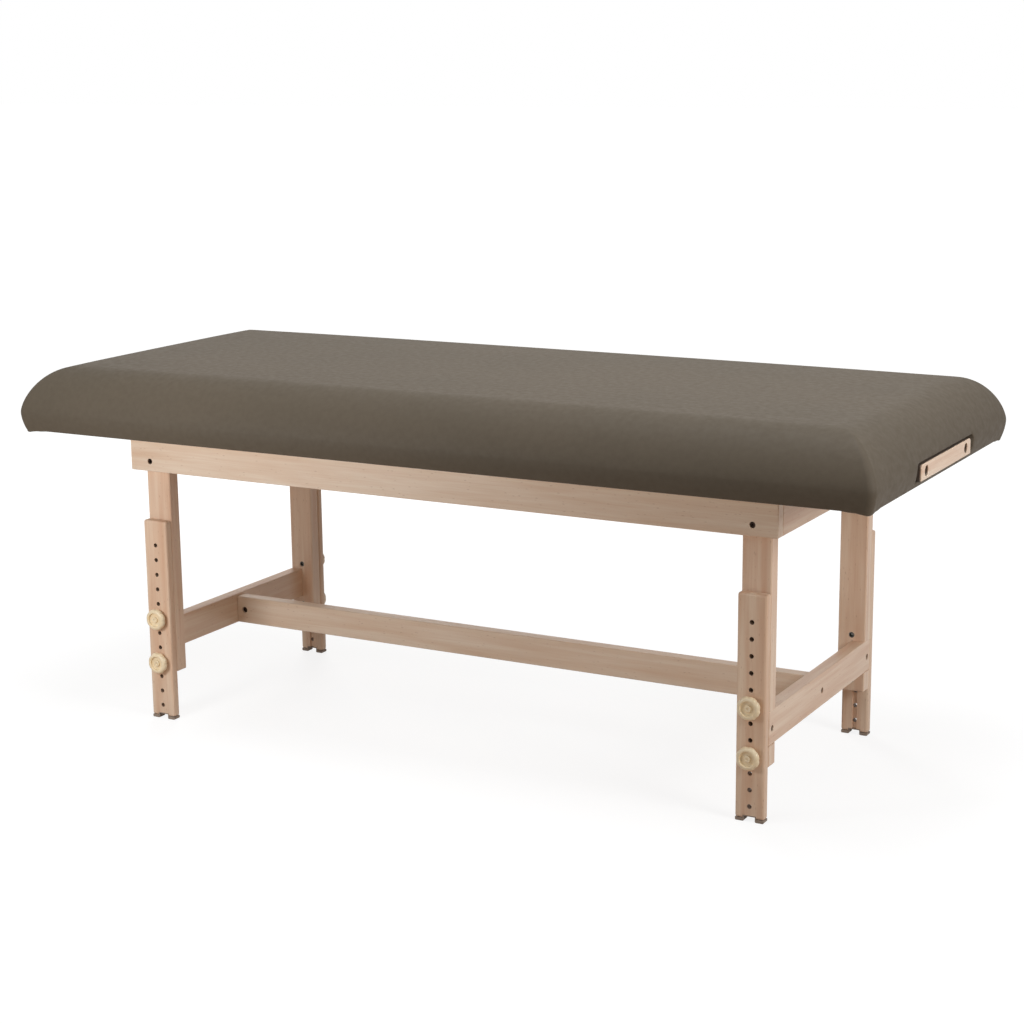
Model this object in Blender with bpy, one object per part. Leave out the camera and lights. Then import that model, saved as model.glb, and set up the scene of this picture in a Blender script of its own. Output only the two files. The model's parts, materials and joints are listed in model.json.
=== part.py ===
"""Stationary massage table: a padded top on a beech frame whose legs adjust in height.

Metres, +Z up. The origin is on the floor under the middle of the top. +X points to the
head end, which carries the face-cradle block, and -Y to the front.
"""
import math

import bmesh
import bpy
import numpy as np
from mathutils import Vector

# Fits
GAP = 0.0003
BORE_CLEAR = 0.0004
END_CLEAR = 0.002

# Padded top
TABLE_HEIGHT = 0.755
PAD_LENGTH = 1.860
PAD_WIDTH = 0.796
PAD_HEIGHT = 0.133
PAD_WIDEST_UP = 0.038
PAD_TUCK = 0.0075
PAD_EDGE_IN = 0.085
PAD_EDGE_POWER = 1.7
PAD_CORNER_RADIUS = 0.014
PAD_TOP_CORNER_RADIUS = 0.004
PAD_HEM_RADIUS = 0.004
PAD_CROWN = 0.003
PAD_CORNER_DROP = 0.004
COVER_THICK = 0.0015
COVER_LIP = 0.040
SLOT_SIDE_CLEAR = 0.020
SLOT_TOP_CLEAR = 0.0045
SLOT_BACK_CLEAR = 0.0005
DECK_THICK = 0.009

# Face-cradle block at the head end
BLOCK_WIDTH = 0.295
BLOCK_HEIGHT = 0.030
BLOCK_DEPTH = 0.065
BLOCK_CORNER = 0.008
SOCKET_DIA = 0.0195
SOCKET_DEPTH = 0.055
SOCKET_SPACING = 0.236

# Upper frame
END_OVERHANG = 0.2095
SIDE_OVERHANG = 0.102
FRAME_RAIL_HEIGHT = 0.085
SIDE_RAIL_THICK = 0.024
END_RAIL_THICK = 0.020
BRACE_WIDTH = 0.060
BRACE_HEIGHT = 0.028
WOOD_EDGE = 0.0015

# Legs and their extensions
LEG_WIDTH = 0.0575
LEG_THICK = 0.030
LEG_BELOW_STUD = 0.0225
LEG_EDGE = 0.002
HOLE_PITCH = 0.03175
HOLE_COUNT = 12
LOWEST_HOLE_UP = 0.030
LOWER_STUD_HOLE = 3
STUD_HOLE_STEP = 3
EXTENSION_THICK = 0.019
EXTENSION_ABOVE_HOLES = 0.0527
EXTENSION_EDGE = 0.004
GROOVE_WIDTH = 0.010
GROOVE_DEPTH = 0.004

# Rubber feet
FOOT_HEIGHT = 0.006
FOOT_WEB = 0.002
FOOT_INSET = 0.0005
FOOT_EDGE = 0.0015
NOTCH_WIDTH = 0.022
NOTCH_HEIGHT = 0.010

# Lower frame
CROSS_RAIL_THICK = 0.028
CROSS_RAIL_HEIGHT = 0.065
CROSS_RAIL_BELOW_STUD = 0.012
RAIL_BOLT_UP = 0.031
STRETCHER_THICK = 0.028
STRETCHER_HEIGHT = 0.059

# Bolts and barrel nuts
BOLT_DIA = 0.0065
BOLT_HEAD_DIA = 0.011
BOLT_HEAD_HEIGHT = 0.006
BOLT_SOCKET = 0.005
BOLT_SOCKET_DEPTH = 0.003
COUNTERBORE_DEPTH = 0.009
LEG_BOLT_UP = 0.021
LEG_BOLT_GRIP = 0.023
RAIL_BOLT_GRIP = 0.021
BARREL_DIA = 0.013
BARREL_LENGTH = 0.020
BARREL_FROM_END = 0.020
BOLT_PAST_BARREL = 0.008

# Knobs, their threaded studs and the insert nuts in the legs
KNOB_DIA = 0.0455
KNOB_DEPTH = 0.017
KNOB_RIM = 0.0055
KNOB_HUB_DIA = 0.024
KNOB_HUB_LENGTH = 0.004
KNOB_DISH_DIA = 0.033
KNOB_DISH_DEPTH = 0.0035
KNOB_BOSS_DIA = 0.013
KNOB_FLUTES = 8
KNOB_FLUTE_DEPTH = 0.0012
STUD_DIA = 0.0079
STUD_IN_KNOB = 0.009
STUD_END_INSIDE = 0.004
INSERT_WALL = 0.0014
INSERT_LENGTH = 0.015
INSERT_SUNK = 0.001

# Facets of round and padded pieces
ROUND_SIDES = 12
KNOB_SIDES = 3 * KNOB_FLUTES
CORNER_STEPS = 2
LONG_STEPS = 8
SHORT_STEPS = 4
EDGE_STEPS = 6

# Levels and faces that several pieces share
UNDERSIDE = TABLE_HEIGHT - PAD_HEIGHT
DECK_BOTTOM = UNDERSIDE + COVER_THICK + GAP
DECK_TOP = DECK_BOTTOM + DECK_THICK
FRAME_LENGTH = PAD_LENGTH - 2 * END_OVERHANG
FRAME_WIDTH = PAD_WIDTH - 2 * SIDE_OVERHANG
FRAME_TOP = DECK_BOTTOM - GAP
FRAME_BOTTOM = FRAME_TOP - FRAME_RAIL_HEIGHT
LEG_BOLT_Z = FRAME_BOTTOM + LEG_BOLT_UP
LEG_X_OUT = FRAME_LENGTH / 2 - END_RAIL_THICK - GAP
LEG_X_MID = LEG_X_OUT - LEG_WIDTH / 2
LEG_Y_OUT = FRAME_WIDTH / 2 - SIDE_RAIL_THICK - GAP
LEG_Y_IN = LEG_Y_OUT - LEG_THICK
EXTENSION_Y_IN = LEG_Y_OUT + GAP
EXTENSION_Y_OUT = EXTENSION_Y_IN + EXTENSION_THICK
HOLE_Z = [LOWEST_HOLE_UP + i * HOLE_PITCH for i in range(HOLE_COUNT)]
EXTENSION_TOP = HOLE_Z[-1] + EXTENSION_ABOVE_HOLES
STUD_Z = {
    "lower": HOLE_Z[LOWER_STUD_HOLE],
    "upper": HOLE_Z[LOWER_STUD_HOLE + STUD_HOLE_STEP],
}
LEG_BOTTOM = STUD_Z["lower"] - LEG_BELOW_STUD
CROSS_RAIL_TOP = STUD_Z["upper"] - CROSS_RAIL_BELOW_STUD
CROSS_RAIL_BOTTOM = CROSS_RAIL_TOP - CROSS_RAIL_HEIGHT
CROSS_RAIL_X_IN = LEG_X_OUT - CROSS_RAIL_THICK
RAIL_BOLT_Z = CROSS_RAIL_BOTTOM + RAIL_BOLT_UP
STRETCHER_END = CROSS_RAIL_X_IN - GAP
BARREL_X = STRETCHER_END - BARREL_FROM_END
INSERT_DIA = STUD_DIA + 2 * (BORE_CLEAR + INSERT_WALL)
BLOCK_FACE = PAD_LENGTH / 2
BLOCK_BOTTOM = DECK_TOP + GAP

SIDES = {"front": -1, "rear": 1}
ENDS = {"left": -1, "right": 1}
CORNERS = {f"{s}_{e}": (ENDS[e], SIDES[s]) for s in SIDES for e in ENDS}
OVERCUT = 0.010


def clear_scene():
    """Start from an empty scene."""
    for old in list(bpy.data.objects):
        bpy.data.objects.remove(old, do_unlink=True)


def linear(code):
    """A colour written as sRGB hex, as linear red, green, blue and alpha."""
    parts = [int(code[i : i + 2], 16) / 255 for i in (1, 3, 5)]
    return [c / 12.92 if c <= 0.04045 else ((c + 0.055) / 1.055) ** 2.4 for c in parts] + [1.0]


def finish(name, colour, roughness, metallic=0.0):
    """A plain surface finish."""
    material = bpy.data.materials.new(name)
    material.use_nodes = True
    shader = material.node_tree.nodes["Principled BSDF"]
    shader.inputs["Base Color"].default_value = linear(colour)
    shader.inputs["Roughness"].default_value = roughness
    shader.inputs["Metallic"].default_value = metallic
    return material


def make_object(name, bm, material=None, origin=(0, 0, 0), parent=None, smooth=False):
    """Put a mesh drawn in world places into an object whose origin is given."""
    bmesh.ops.recalc_face_normals(bm, faces=bm.faces)
    bmesh.ops.translate(bm, vec=-Vector(origin), verts=bm.verts)
    mesh = bpy.data.meshes.new(name)
    bm.to_mesh(mesh)
    bm.free()
    if smooth:
        mesh.shade_smooth()
        mesh.set_sharp_from_angle(angle=math.radians(35))
    obj = bpy.data.objects.new(name, mesh)
    bpy.context.scene.collection.objects.link(obj)
    obj.location = origin
    if parent:
        obj.parent = parent
        obj.location = Vector(origin) - parent.location
    if material:
        mesh.materials.append(material)
    return obj


def joint_empty(name, place):
    """An empty on a joint's axis, for the pieces that move with it."""
    empty = bpy.data.objects.new(name, None)
    bpy.context.scene.collection.objects.link(empty)
    empty.location = place
    return empty


def round_edges(obj, width, segments=1):
    """Ease every sharp edge of a piece of wood."""
    bevel = obj.modifiers.new("eased_edges", "BEVEL")
    bevel.width = width
    bevel.segments = segments
    bevel.limit_method = "ANGLE"
    bevel.angle_limit = math.radians(40)


def cut(obj, name, bm):
    """Take the shape drawn in bm away from a piece."""
    cutter = make_object(f"cut_{name}_{obj.name}", bm)
    cutter.hide_render = True
    cutter.display_type = "WIRE"
    modifier = obj.modifiers.new(name, "BOOLEAN")
    modifier.operation = "DIFFERENCE"
    modifier.object = cutter


def add_box(bm, low, high):
    """A cuboid between two corners, given in any order."""
    low, high = np.minimum(low, high), np.maximum(low, high)
    made = bmesh.ops.create_cube(bm, size=1.0)["verts"]
    bmesh.ops.scale(bm, vec=Vector(high - low), verts=made)
    bmesh.ops.translate(bm, vec=Vector((low + high) / 2), verts=made)
    return bm


def add_turned(bm, profile, base, direction, sides=ROUND_SIDES, form=None, closed=False):
    """Turn a profile of (radius, distance) about an axis.

    form(radius, angle) may shape a ring, and a closed profile makes a ring that is open through
    its middle.
    """
    axis = Vector(direction).normalized()
    across = axis.orthogonal().normalized()
    other = axis.cross(across)
    rings = []
    for radius, distance in profile:
        centre = Vector(base) + axis * distance
        if radius == 0:
            rings.append([bm.verts.new(centre)])
            continue
        ring = []
        for k in range(sides):
            angle = 2 * math.pi * k / sides
            reach = form(radius, angle) if form else radius
            spoke = across * math.cos(angle) + other * math.sin(angle)
            ring.append(bm.verts.new(centre + spoke * reach))
        rings.append(ring)
    for one, two in zip(rings, rings[1:] + rings[: int(closed)]):
        for k in range(sides):
            loop = [one[k % len(one)], one[(k + 1) % len(one)]]
            loop += [two[(k + 1) % len(two)], two[k % len(two)]]
            bm.faces.new(list(dict.fromkeys(loop)))
    for end in (rings[0], rings[-1]):
        if len(end) > 1 and not closed:
            bm.faces.new(end)
    return bm


def hole_radius(dia, clear=BORE_CLEAR, sides=ROUND_SIDES):
    """Corner radius of a faceted hole whose flats clear a round piece of this diameter."""
    return (dia / 2 + clear) / math.cos(math.pi / sides)


def add_bore(bm, steps, base, direction):
    """A stepped hole: each step is (corner radius, from, to), along a direction from the base."""
    profile = []
    for radius, start, stop in steps:
        profile += [(radius, start), (radius, stop)]
    return add_turned(bm, profile, base, direction)


def rounded_rectangle(half_x, half_y, radius):
    """Points round a rectangle with round corners and points along its straight sides."""
    arcs = []
    for k, (sx, sy) in enumerate(((1, 1), (-1, 1), (-1, -1), (1, -1))):
        turn = (k + np.linspace(0, 1, CORNER_STEPS + 1)) * math.pi / 2
        centre = np.array([sx * (half_x - radius), sy * (half_y - radius)])
        arcs.append(centre + radius * np.stack([np.cos(turn), np.sin(turn)], -1))
    points = []
    for k, arc in enumerate(arcs):
        steps = LONG_STEPS if k % 2 == 0 else SHORT_STEPS
        share = np.linspace(0, 1, steps + 1)[1:-1, None]
        points += [arc, arc[-1] + share * (arcs[(k + 1) % 4][0] - arc[-1])]
    return np.concatenate(points)


def pad_edge(offset):
    """The pad's edge profile as (inset, height), moved inwards by an offset.

    It runs from the cover's stapled lip round the hem, up the drawn-in side to the widest
    line, and over the edge along a superellipse to the flat top.
    """
    turn = np.radians([0, 30, 60, 90])
    hem_in = PAD_TUCK + PAD_HEM_RADIUS * (1 - np.sin(turn))
    hem_up = PAD_HEM_RADIUS * (1 - np.cos(turn))
    rise = np.array([1 / 3, 2 / 3, 1])
    side_in = PAD_TUCK * (1 - rise) ** 2
    side_up = PAD_HEM_RADIUS + rise * (PAD_WIDEST_UP - PAD_HEM_RADIUS)
    over = np.linspace(0, math.pi / 2, EDGE_STEPS + 1)[1:]
    power = 2 / PAD_EDGE_POWER
    edge_in = PAD_EDGE_IN * (1 - np.abs(np.cos(over)) ** power)
    edge_up = PAD_WIDEST_UP + (PAD_HEIGHT - PAD_WIDEST_UP) * np.sin(over) ** power
    inset = np.concatenate([[PAD_TUCK + COVER_LIP], hem_in, side_in, edge_in])
    height = np.concatenate([[0], hem_up, side_up, edge_up])
    along = np.stack([np.gradient(inset), np.gradient(height)], -1)
    along[0] = (-1, 0)
    along[-1] = (1, 0)
    along /= np.linalg.norm(along, axis=1)[:, None]
    return inset + offset * along[:, 1], height - offset * along[:, 0]


def pad_rings(inset, height):
    """Rings of points for a profile of the pad and on across its crowned top."""
    across = PAD_WIDTH / 2 - inset[-1]
    inset = np.concatenate([inset, inset[-1] + across * np.array([0.3, 0.6, 0.9])])
    height = np.concatenate([height, np.full(3, height[-1])])
    rings = []
    for s, h in zip(inset, height):
        blend = min(s / PAD_EDGE_IN, 1)
        radius = PAD_CORNER_RADIUS + blend * (PAD_TOP_CORNER_RADIUS - PAD_CORNER_RADIUS)
        plan = rounded_rectangle(PAD_LENGTH / 2 - s, PAD_WIDTH / 2 - s, radius)
        u, v = np.abs(plan[:, 0]) / (PAD_LENGTH / 2), np.abs(plan[:, 1]) / (PAD_WIDTH / 2)
        share = np.clip((h - PAD_WIDEST_UP) / (PAD_HEIGHT - PAD_WIDEST_UP), 0, 1)
        drop = PAD_CROWN * (1 - (1 - u**2) * (1 - v**2)) + PAD_CORNER_DROP * u**4 * v**4
        z = UNDERSIDE + h - share * drop
        rings.append(np.column_stack([plan, z]))
    return rings


def add_loft(bm, rings):
    """A closed body through rings of points, capped at both ends."""
    rows = [[bm.verts.new(p) for p in ring] for ring in rings]
    for one, two in zip(rows, rows[1:]):
        for k in range(len(one)):
            n = (k + 1) % len(one)
            bm.faces.new((one[k], one[n], two[n], two[k]))
    bm.faces.new(rows[0])
    bm.faces.new(rows[-1])
    return bm


def block_outline(side_clear=0.0, top_clear=0.0):
    """The face-cradle block's end outline in (y, z), grown by a clearance at its sides and top."""
    half, top = BLOCK_WIDTH / 2 + side_clear, BLOCK_BOTTOM + BLOCK_HEIGHT + top_clear
    radius = BLOCK_CORNER + top_clear
    turn = np.linspace(0, math.pi / 2, 4)
    across = half - radius + radius * np.cos(turn)
    right = np.stack([across, top - radius + radius * np.sin(turn)], -1)
    left = (right * (-1, 1))[::-1]
    return np.concatenate([[(half, BLOCK_BOTTOM)], right, left, [(-half, BLOCK_BOTTOM)]])


def add_prism(bm, outline, place, step):
    """A closed prism: an outline placed in space by a function, and the same moved by a step."""
    near = [bm.verts.new(place(*p)) for p in outline]
    far = [bm.verts.new(v.co + Vector(step)) for v in near]
    for k in range(len(near)):
        n = (k + 1) % len(near)
        bm.faces.new((near[k], near[n], far[n], far[k]))
    bm.faces.new(near)
    bm.faces.new(far)
    return bm


def make_cover(vinyl):
    """The vinyl: a skin over the foam, with a lip under the deck and a slot for the block."""
    outer = pad_rings(*pad_edge(0))
    inner = pad_rings(*pad_edge(COVER_THICK))
    cover = make_object("vinyl_cover", add_loft(bmesh.new(), inner[::-1] + outer), vinyl, smooth=True)
    start = BLOCK_FACE - BLOCK_DEPTH
    slot = add_prism(
        bmesh.new(),
        block_outline(SLOT_SIDE_CLEAR, SLOT_TOP_CLEAR),
        lambda y, z: (start, y, z),
        (BLOCK_DEPTH + OVERCUT, 0, 0),
    )
    cut(cover, "block_slot", slot)


def make_foam(foam):
    """The foam core, standing on the deck inside the cover and notched for the block."""
    inset, height = pad_edge(COVER_THICK + GAP)
    floor = DECK_TOP + GAP - UNDERSIDE
    first = int(np.argmax(height > floor + END_CLEAR))
    start = np.interp(floor, height[first - 1 : first + 1], inset[first - 1 : first + 1])
    inset = np.concatenate([[start], inset[first:]])
    height = np.concatenate([[floor], height[first:]])
    pad = make_object("foam_pad", add_loft(bmesh.new(), pad_rings(inset, height)), foam, smooth=True)
    back = BLOCK_FACE - BLOCK_DEPTH - SLOT_BACK_CLEAR
    outline = block_outline(SLOT_SIDE_CLEAR, SLOT_TOP_CLEAR)
    outline[[0, -1], 1] -= OVERCUT
    slot = add_prism(bmesh.new(), outline, lambda y, z: (back, y, z), (BLOCK_DEPTH + OVERCUT, 0, 0))
    cut(pad, "block_recess", slot)


def make_deck(plywood):
    """The plywood deck inside the cover, with its lower edge eased to suit the hem."""
    inset, height = pad_edge(COVER_THICK + GAP)
    top = DECK_TOP - UNDERSIDE
    inside = (height < top - END_CLEAR) & (np.arange(len(height)) > 0)
    last = int(np.flatnonzero(inside)[-1])
    end = np.interp(top, height[last : last + 2], inset[last : last + 2])
    rings = []
    for s, h in zip(np.append(inset[inside], end), np.append(height[inside], top)):
        plan = rounded_rectangle(PAD_LENGTH / 2 - s, PAD_WIDTH / 2 - s, PAD_CORNER_RADIUS)
        rings.append(np.column_stack([plan, np.full(len(plan), UNDERSIDE + h)]))
    make_object("deck_panel", add_loft(bmesh.new(), rings), plywood)


def make_cradle_block(beech):
    """The hardwood block with two blind sockets that take a face cradle's posts."""
    back = BLOCK_FACE - BLOCK_DEPTH
    body = add_prism(
        bmesh.new(), block_outline(), lambda y, z: (back, y, z), (BLOCK_DEPTH, 0, 0)
    )
    block = make_object("cradle_block", body, beech)
    sockets = bmesh.new()
    for side in SIDES.values():
        mouth = (BLOCK_FACE, side * SOCKET_SPACING / 2, BLOCK_BOTTOM + BLOCK_HEIGHT / 2)
        radius = hole_radius(SOCKET_DIA, clear=0)
        add_bore(sockets, [(radius, -SOCKET_DEPTH, OVERCUT)], mouth, (1, 0, 0))
    cut(block, "sockets", sockets)


def make_upper_frame(beech):
    """Two long side rails, two end rails between them and a brace under the deck's middle."""
    half = FRAME_LENGTH / 2
    for side, sy in SIDES.items():
        outer = sy * FRAME_WIDTH / 2
        inner = outer - sy * SIDE_RAIL_THICK
        box = add_box(bmesh.new(), (-half, outer, FRAME_BOTTOM), (half, inner, FRAME_TOP))
        rail = make_object(f"side_rail_{side}", box, beech)
        round_edges(rail, WOOD_EDGE)
        holes = bmesh.new()
        for sx in ENDS.values():
            steps = [
                (hole_radius(BOLT_DIA), -SIDE_RAIL_THICK - OVERCUT, -COUNTERBORE_DEPTH),
                (hole_radius(BOLT_HEAD_DIA), -COUNTERBORE_DEPTH, OVERCUT),
            ]
            add_bore(holes, steps, (sx * LEG_X_MID, outer, LEG_BOLT_Z), (0, sy, 0))
        cut(rail, "bolt_holes", holes)
    reach = FRAME_WIDTH / 2 - SIDE_RAIL_THICK - GAP
    for end, sx in ENDS.items():
        low = (sx * (half - END_RAIL_THICK), -reach, FRAME_BOTTOM)
        box = add_box(bmesh.new(), low, (sx * half, reach, FRAME_TOP))
        rail = make_object(f"end_rail_{end}", box, beech)
        round_edges(rail, WOOD_EDGE)
    low = (-BRACE_WIDTH / 2, -reach, FRAME_TOP - BRACE_HEIGHT)
    box = add_box(bmesh.new(), low, (BRACE_WIDTH / 2, reach, FRAME_TOP))
    brace = make_object("deck_brace", box, beech)
    round_edges(brace, WOOD_EDGE)


def make_upper_leg(corner, sx, sy, beech):
    """One fixed leg, housed for its cross rail and bored for the studs and bolts."""
    low = (sx * LEG_X_OUT, sy * LEG_Y_OUT, LEG_BOTTOM)
    high = (sx * (LEG_X_OUT - LEG_WIDTH), sy * LEG_Y_IN, FRAME_TOP)
    leg = make_object(f"upper_leg_{corner}", add_box(bmesh.new(), low, high), beech)
    round_edges(leg, LEG_EDGE)
    low = (sx * (CROSS_RAIL_X_IN - GAP), sy * (LEG_Y_IN - OVERCUT), CROSS_RAIL_BOTTOM - GAP)
    high = (sx * (LEG_X_OUT + OVERCUT), sy * (LEG_Y_OUT + OVERCUT), CROSS_RAIL_TOP + GAP)
    cut(leg, "rail_housing", add_box(bmesh.new(), low, high))
    holes = bmesh.new()
    pocket = INSERT_SUNK + INSERT_LENGTH + GAP
    for z in STUD_Z.values():
        steps = [
            (hole_radius(INSERT_DIA, GAP), -OVERCUT, pocket),
            (hole_radius(STUD_DIA), pocket, LEG_THICK + OVERCUT),
        ]
        add_bore(holes, steps, (sx * LEG_X_MID, sy * LEG_Y_IN, z), (0, sy, 0))
    steps = [(hole_radius(BOLT_DIA), -LEG_BOLT_GRIP - END_CLEAR, OVERCUT)]
    add_bore(holes, steps, (sx * LEG_X_MID, sy * LEG_Y_OUT, LEG_BOLT_Z), (0, sy, 0))
    cut(leg, "cross_bores", holes)
    steps = [(hole_radius(BOLT_DIA), -RAIL_BOLT_GRIP - END_CLEAR, OVERCUT)]
    start = (sx * (CROSS_RAIL_X_IN - GAP), sy * (LEG_Y_OUT - LEG_THICK / 2), RAIL_BOLT_Z)
    cut(leg, "rail_bolt_bore", add_bore(bmesh.new(), steps, start, (sx, 0, 0)))


def make_lower_frame(beech):
    """A cross rail at each end, let into the legs, and the long stretcher between them."""
    for end, sx in ENDS.items():
        low = (sx * LEG_X_OUT, -LEG_Y_OUT, CROSS_RAIL_BOTTOM)
        high = (sx * CROSS_RAIL_X_IN, LEG_Y_OUT, CROSS_RAIL_TOP)
        rail = make_object(f"cross_rail_{end}", add_box(bmesh.new(), low, high), beech)
        round_edges(rail, WOOD_EDGE)
        holes = bmesh.new()
        for sy in (-1, 0, 1):
            steps = [
                (hole_radius(BOLT_DIA), -CROSS_RAIL_THICK - OVERCUT, -COUNTERBORE_DEPTH),
                (hole_radius(BOLT_HEAD_DIA), -COUNTERBORE_DEPTH, OVERCUT),
            ]
            mouth = (sx * LEG_X_OUT, sy * (LEG_Y_OUT - LEG_THICK / 2), RAIL_BOLT_Z)
            add_bore(holes, steps, mouth, (sx, 0, 0))
        cut(rail, "bolt_holes", holes)
    half = np.array([STRETCHER_END, STRETCHER_THICK / 2, STRETCHER_HEIGHT / 2])
    middle = np.array([0, 0, RAIL_BOLT_Z])
    stretcher = make_object("stretcher", add_box(bmesh.new(), middle - half, middle + half), beech)
    round_edges(stretcher, WOOD_EDGE)
    ends, crosses = bmesh.new(), bmesh.new()
    deep = BARREL_FROM_END + BARREL_DIA / 2 + BOLT_PAST_BARREL + END_CLEAR
    across = STRETCHER_THICK / 2 + BARREL_LENGTH / 2 + GAP
    for sx in ENDS.values():
        bolt_hole = [(hole_radius(BOLT_DIA), -deep, OVERCUT)]
        add_bore(ends, bolt_hole, (sx * STRETCHER_END, 0, RAIL_BOLT_Z), (sx, 0, 0))
        nut_hole = [(hole_radius(BARREL_DIA, GAP), -across, OVERCUT)]
        add_bore(crosses, nut_hole, (sx * BARREL_X, -STRETCHER_THICK / 2, RAIL_BOLT_Z), (0, -1, 0))
    cut(stretcher, "end_bores", ends)
    cut(stretcher, "barrel_bores", crosses)


def make_bolt(name, seat, direction, shank, steel):
    """A socket-head bolt whose head seats on a counterbore's floor."""
    corner = BOLT_SOCKET / 2 / math.cos(math.pi / 6)

    def form(radius, angle):
        """Round, but a hexagon at the socket's corner radius."""
        if radius != corner:
            return radius
        return radius * math.cos(math.pi / 6) / math.cos(angle % (math.pi / 3) - math.pi / 6)

    head = GAP + BOLT_HEAD_HEIGHT
    profile = [
        (0, -shank),
        (BOLT_DIA / 2, -shank),
        (BOLT_DIA / 2, GAP),
        (BOLT_HEAD_DIA / 2, GAP),
        (BOLT_HEAD_DIA / 2, head),
        (corner, head),
        (corner, head - BOLT_SOCKET_DEPTH),
        (0, head - BOLT_SOCKET_DEPTH),
    ]
    bm = add_turned(bmesh.new(), profile, seat, direction, form=form)
    make_object(name, bm, steel, origin=seat, smooth=True)


def make_fasteners(steel):
    """The leg bolts, the cross-rail bolts, and the stretcher's bolts with their barrel nuts."""
    for corner, (sx, sy) in CORNERS.items():
        seat = (sx * LEG_X_MID, sy * (FRAME_WIDTH / 2 - COUNTERBORE_DEPTH), LEG_BOLT_Z)
        shank = SIDE_RAIL_THICK - COUNTERBORE_DEPTH + LEG_BOLT_GRIP
        make_bolt(f"leg_bolt_{corner}", seat, (0, sy, 0), shank, steel)
        seat = (sx * (LEG_X_OUT - COUNTERBORE_DEPTH), sy * (LEG_Y_OUT - LEG_THICK / 2), RAIL_BOLT_Z)
        shank = CROSS_RAIL_THICK - COUNTERBORE_DEPTH + RAIL_BOLT_GRIP
        make_bolt(f"rail_bolt_{corner}", seat, (sx, 0, 0), shank, steel)
    for end, sx in ENDS.items():
        seat = (sx * (LEG_X_OUT - COUNTERBORE_DEPTH), 0, RAIL_BOLT_Z)
        in_stretcher = BARREL_FROM_END + BARREL_DIA / 2 + BOLT_PAST_BARREL
        shank = CROSS_RAIL_THICK - COUNTERBORE_DEPTH + in_stretcher
        make_bolt(f"stretcher_bolt_{end}", seat, (sx, 0, 0), shank, steel)
        middle = (sx * BARREL_X, 0, RAIL_BOLT_Z)
        half = BARREL_LENGTH / 2
        profile = [(BARREL_DIA / 2, -half), (BARREL_DIA / 2, half)]
        body = add_turned(bmesh.new(), profile, middle, (0, 1, 0))
        nut = make_object(f"barrel_nut_{end}", body, steel, origin=middle, smooth=True)
        steps = [(hole_radius(BOLT_DIA), -BARREL_DIA, BARREL_DIA)]
        cut(nut, "bolt_bore", add_bore(bmesh.new(), steps, middle, (1, 0, 0)))


def make_extension(corner, sx, sy, beech, rubber):
    """One sliding leg extension with its row of holes, and the rubber foot on its end."""
    slide = joint_empty(f"slide_{corner}", (sx * LEG_X_MID, sy * EXTENSION_Y_IN, 0))
    half = LEG_WIDTH / 2
    low = (sx * LEG_X_MID - half, sy * EXTENSION_Y_IN, FOOT_HEIGHT + GAP)
    high = (sx * LEG_X_MID + half, sy * EXTENSION_Y_OUT, EXTENSION_TOP)
    body = add_box(bmesh.new(), low, high)
    leg = make_object(f"leg_extension_{corner}", body, beech, slide.location, slide)
    round_edges(leg, EXTENSION_EDGE, segments=2)
    low = (sx * LEG_X_MID - GROOVE_WIDTH / 2, sy * (EXTENSION_Y_IN - OVERCUT), -OVERCUT)
    floor = sy * (EXTENSION_Y_IN + GROOVE_DEPTH)
    high = (sx * LEG_X_MID + GROOVE_WIDTH / 2, floor, EXTENSION_TOP + OVERCUT)
    cut(leg, "groove", add_box(bmesh.new(), low, high))
    wide = NOTCH_WIDTH / 2 + FOOT_WEB + GAP
    low = (sx * LEG_X_MID - wide, sy * (EXTENSION_Y_IN - OVERCUT), -OVERCUT)
    high = (sx * LEG_X_MID + wide, sy * (EXTENSION_Y_OUT + OVERCUT), NOTCH_HEIGHT + FOOT_WEB + GAP)
    cut(leg, "foot_notch", add_box(bmesh.new(), low, high))
    holes = bmesh.new()
    for z in HOLE_Z:
        steps = [(hole_radius(STUD_DIA), -OVERCUT, EXTENSION_THICK + OVERCUT)]
        add_bore(holes, steps, (sx * LEG_X_MID, sy * EXTENSION_Y_IN, z), (0, sy, 0))
    cut(leg, "stud_holes", holes)

    notch = NOTCH_WIDTH / 2
    web = notch + FOOT_WEB
    toe = half - FOOT_INSET
    right = [(notch, NOTCH_HEIGHT), (notch, FOOT_EDGE), (notch + FOOT_EDGE, 0)]
    right += [(toe - FOOT_EDGE, 0), (toe, FOOT_EDGE), (toe, FOOT_HEIGHT)]
    right += [(web, FOOT_HEIGHT), (web, NOTCH_HEIGHT + FOOT_WEB)]
    outline = right + [(-x, z) for x, z in reversed(right)]
    start = sy * (EXTENSION_Y_IN + FOOT_INSET)
    depth = (0, sy * (EXTENSION_THICK - 2 * FOOT_INSET), 0)
    pad = add_prism(bmesh.new(), outline, lambda x, z: (sx * LEG_X_MID + x, start, z), depth)
    make_object(f"rubber_foot_{corner}", pad, rubber, slide.location, slide)


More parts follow.
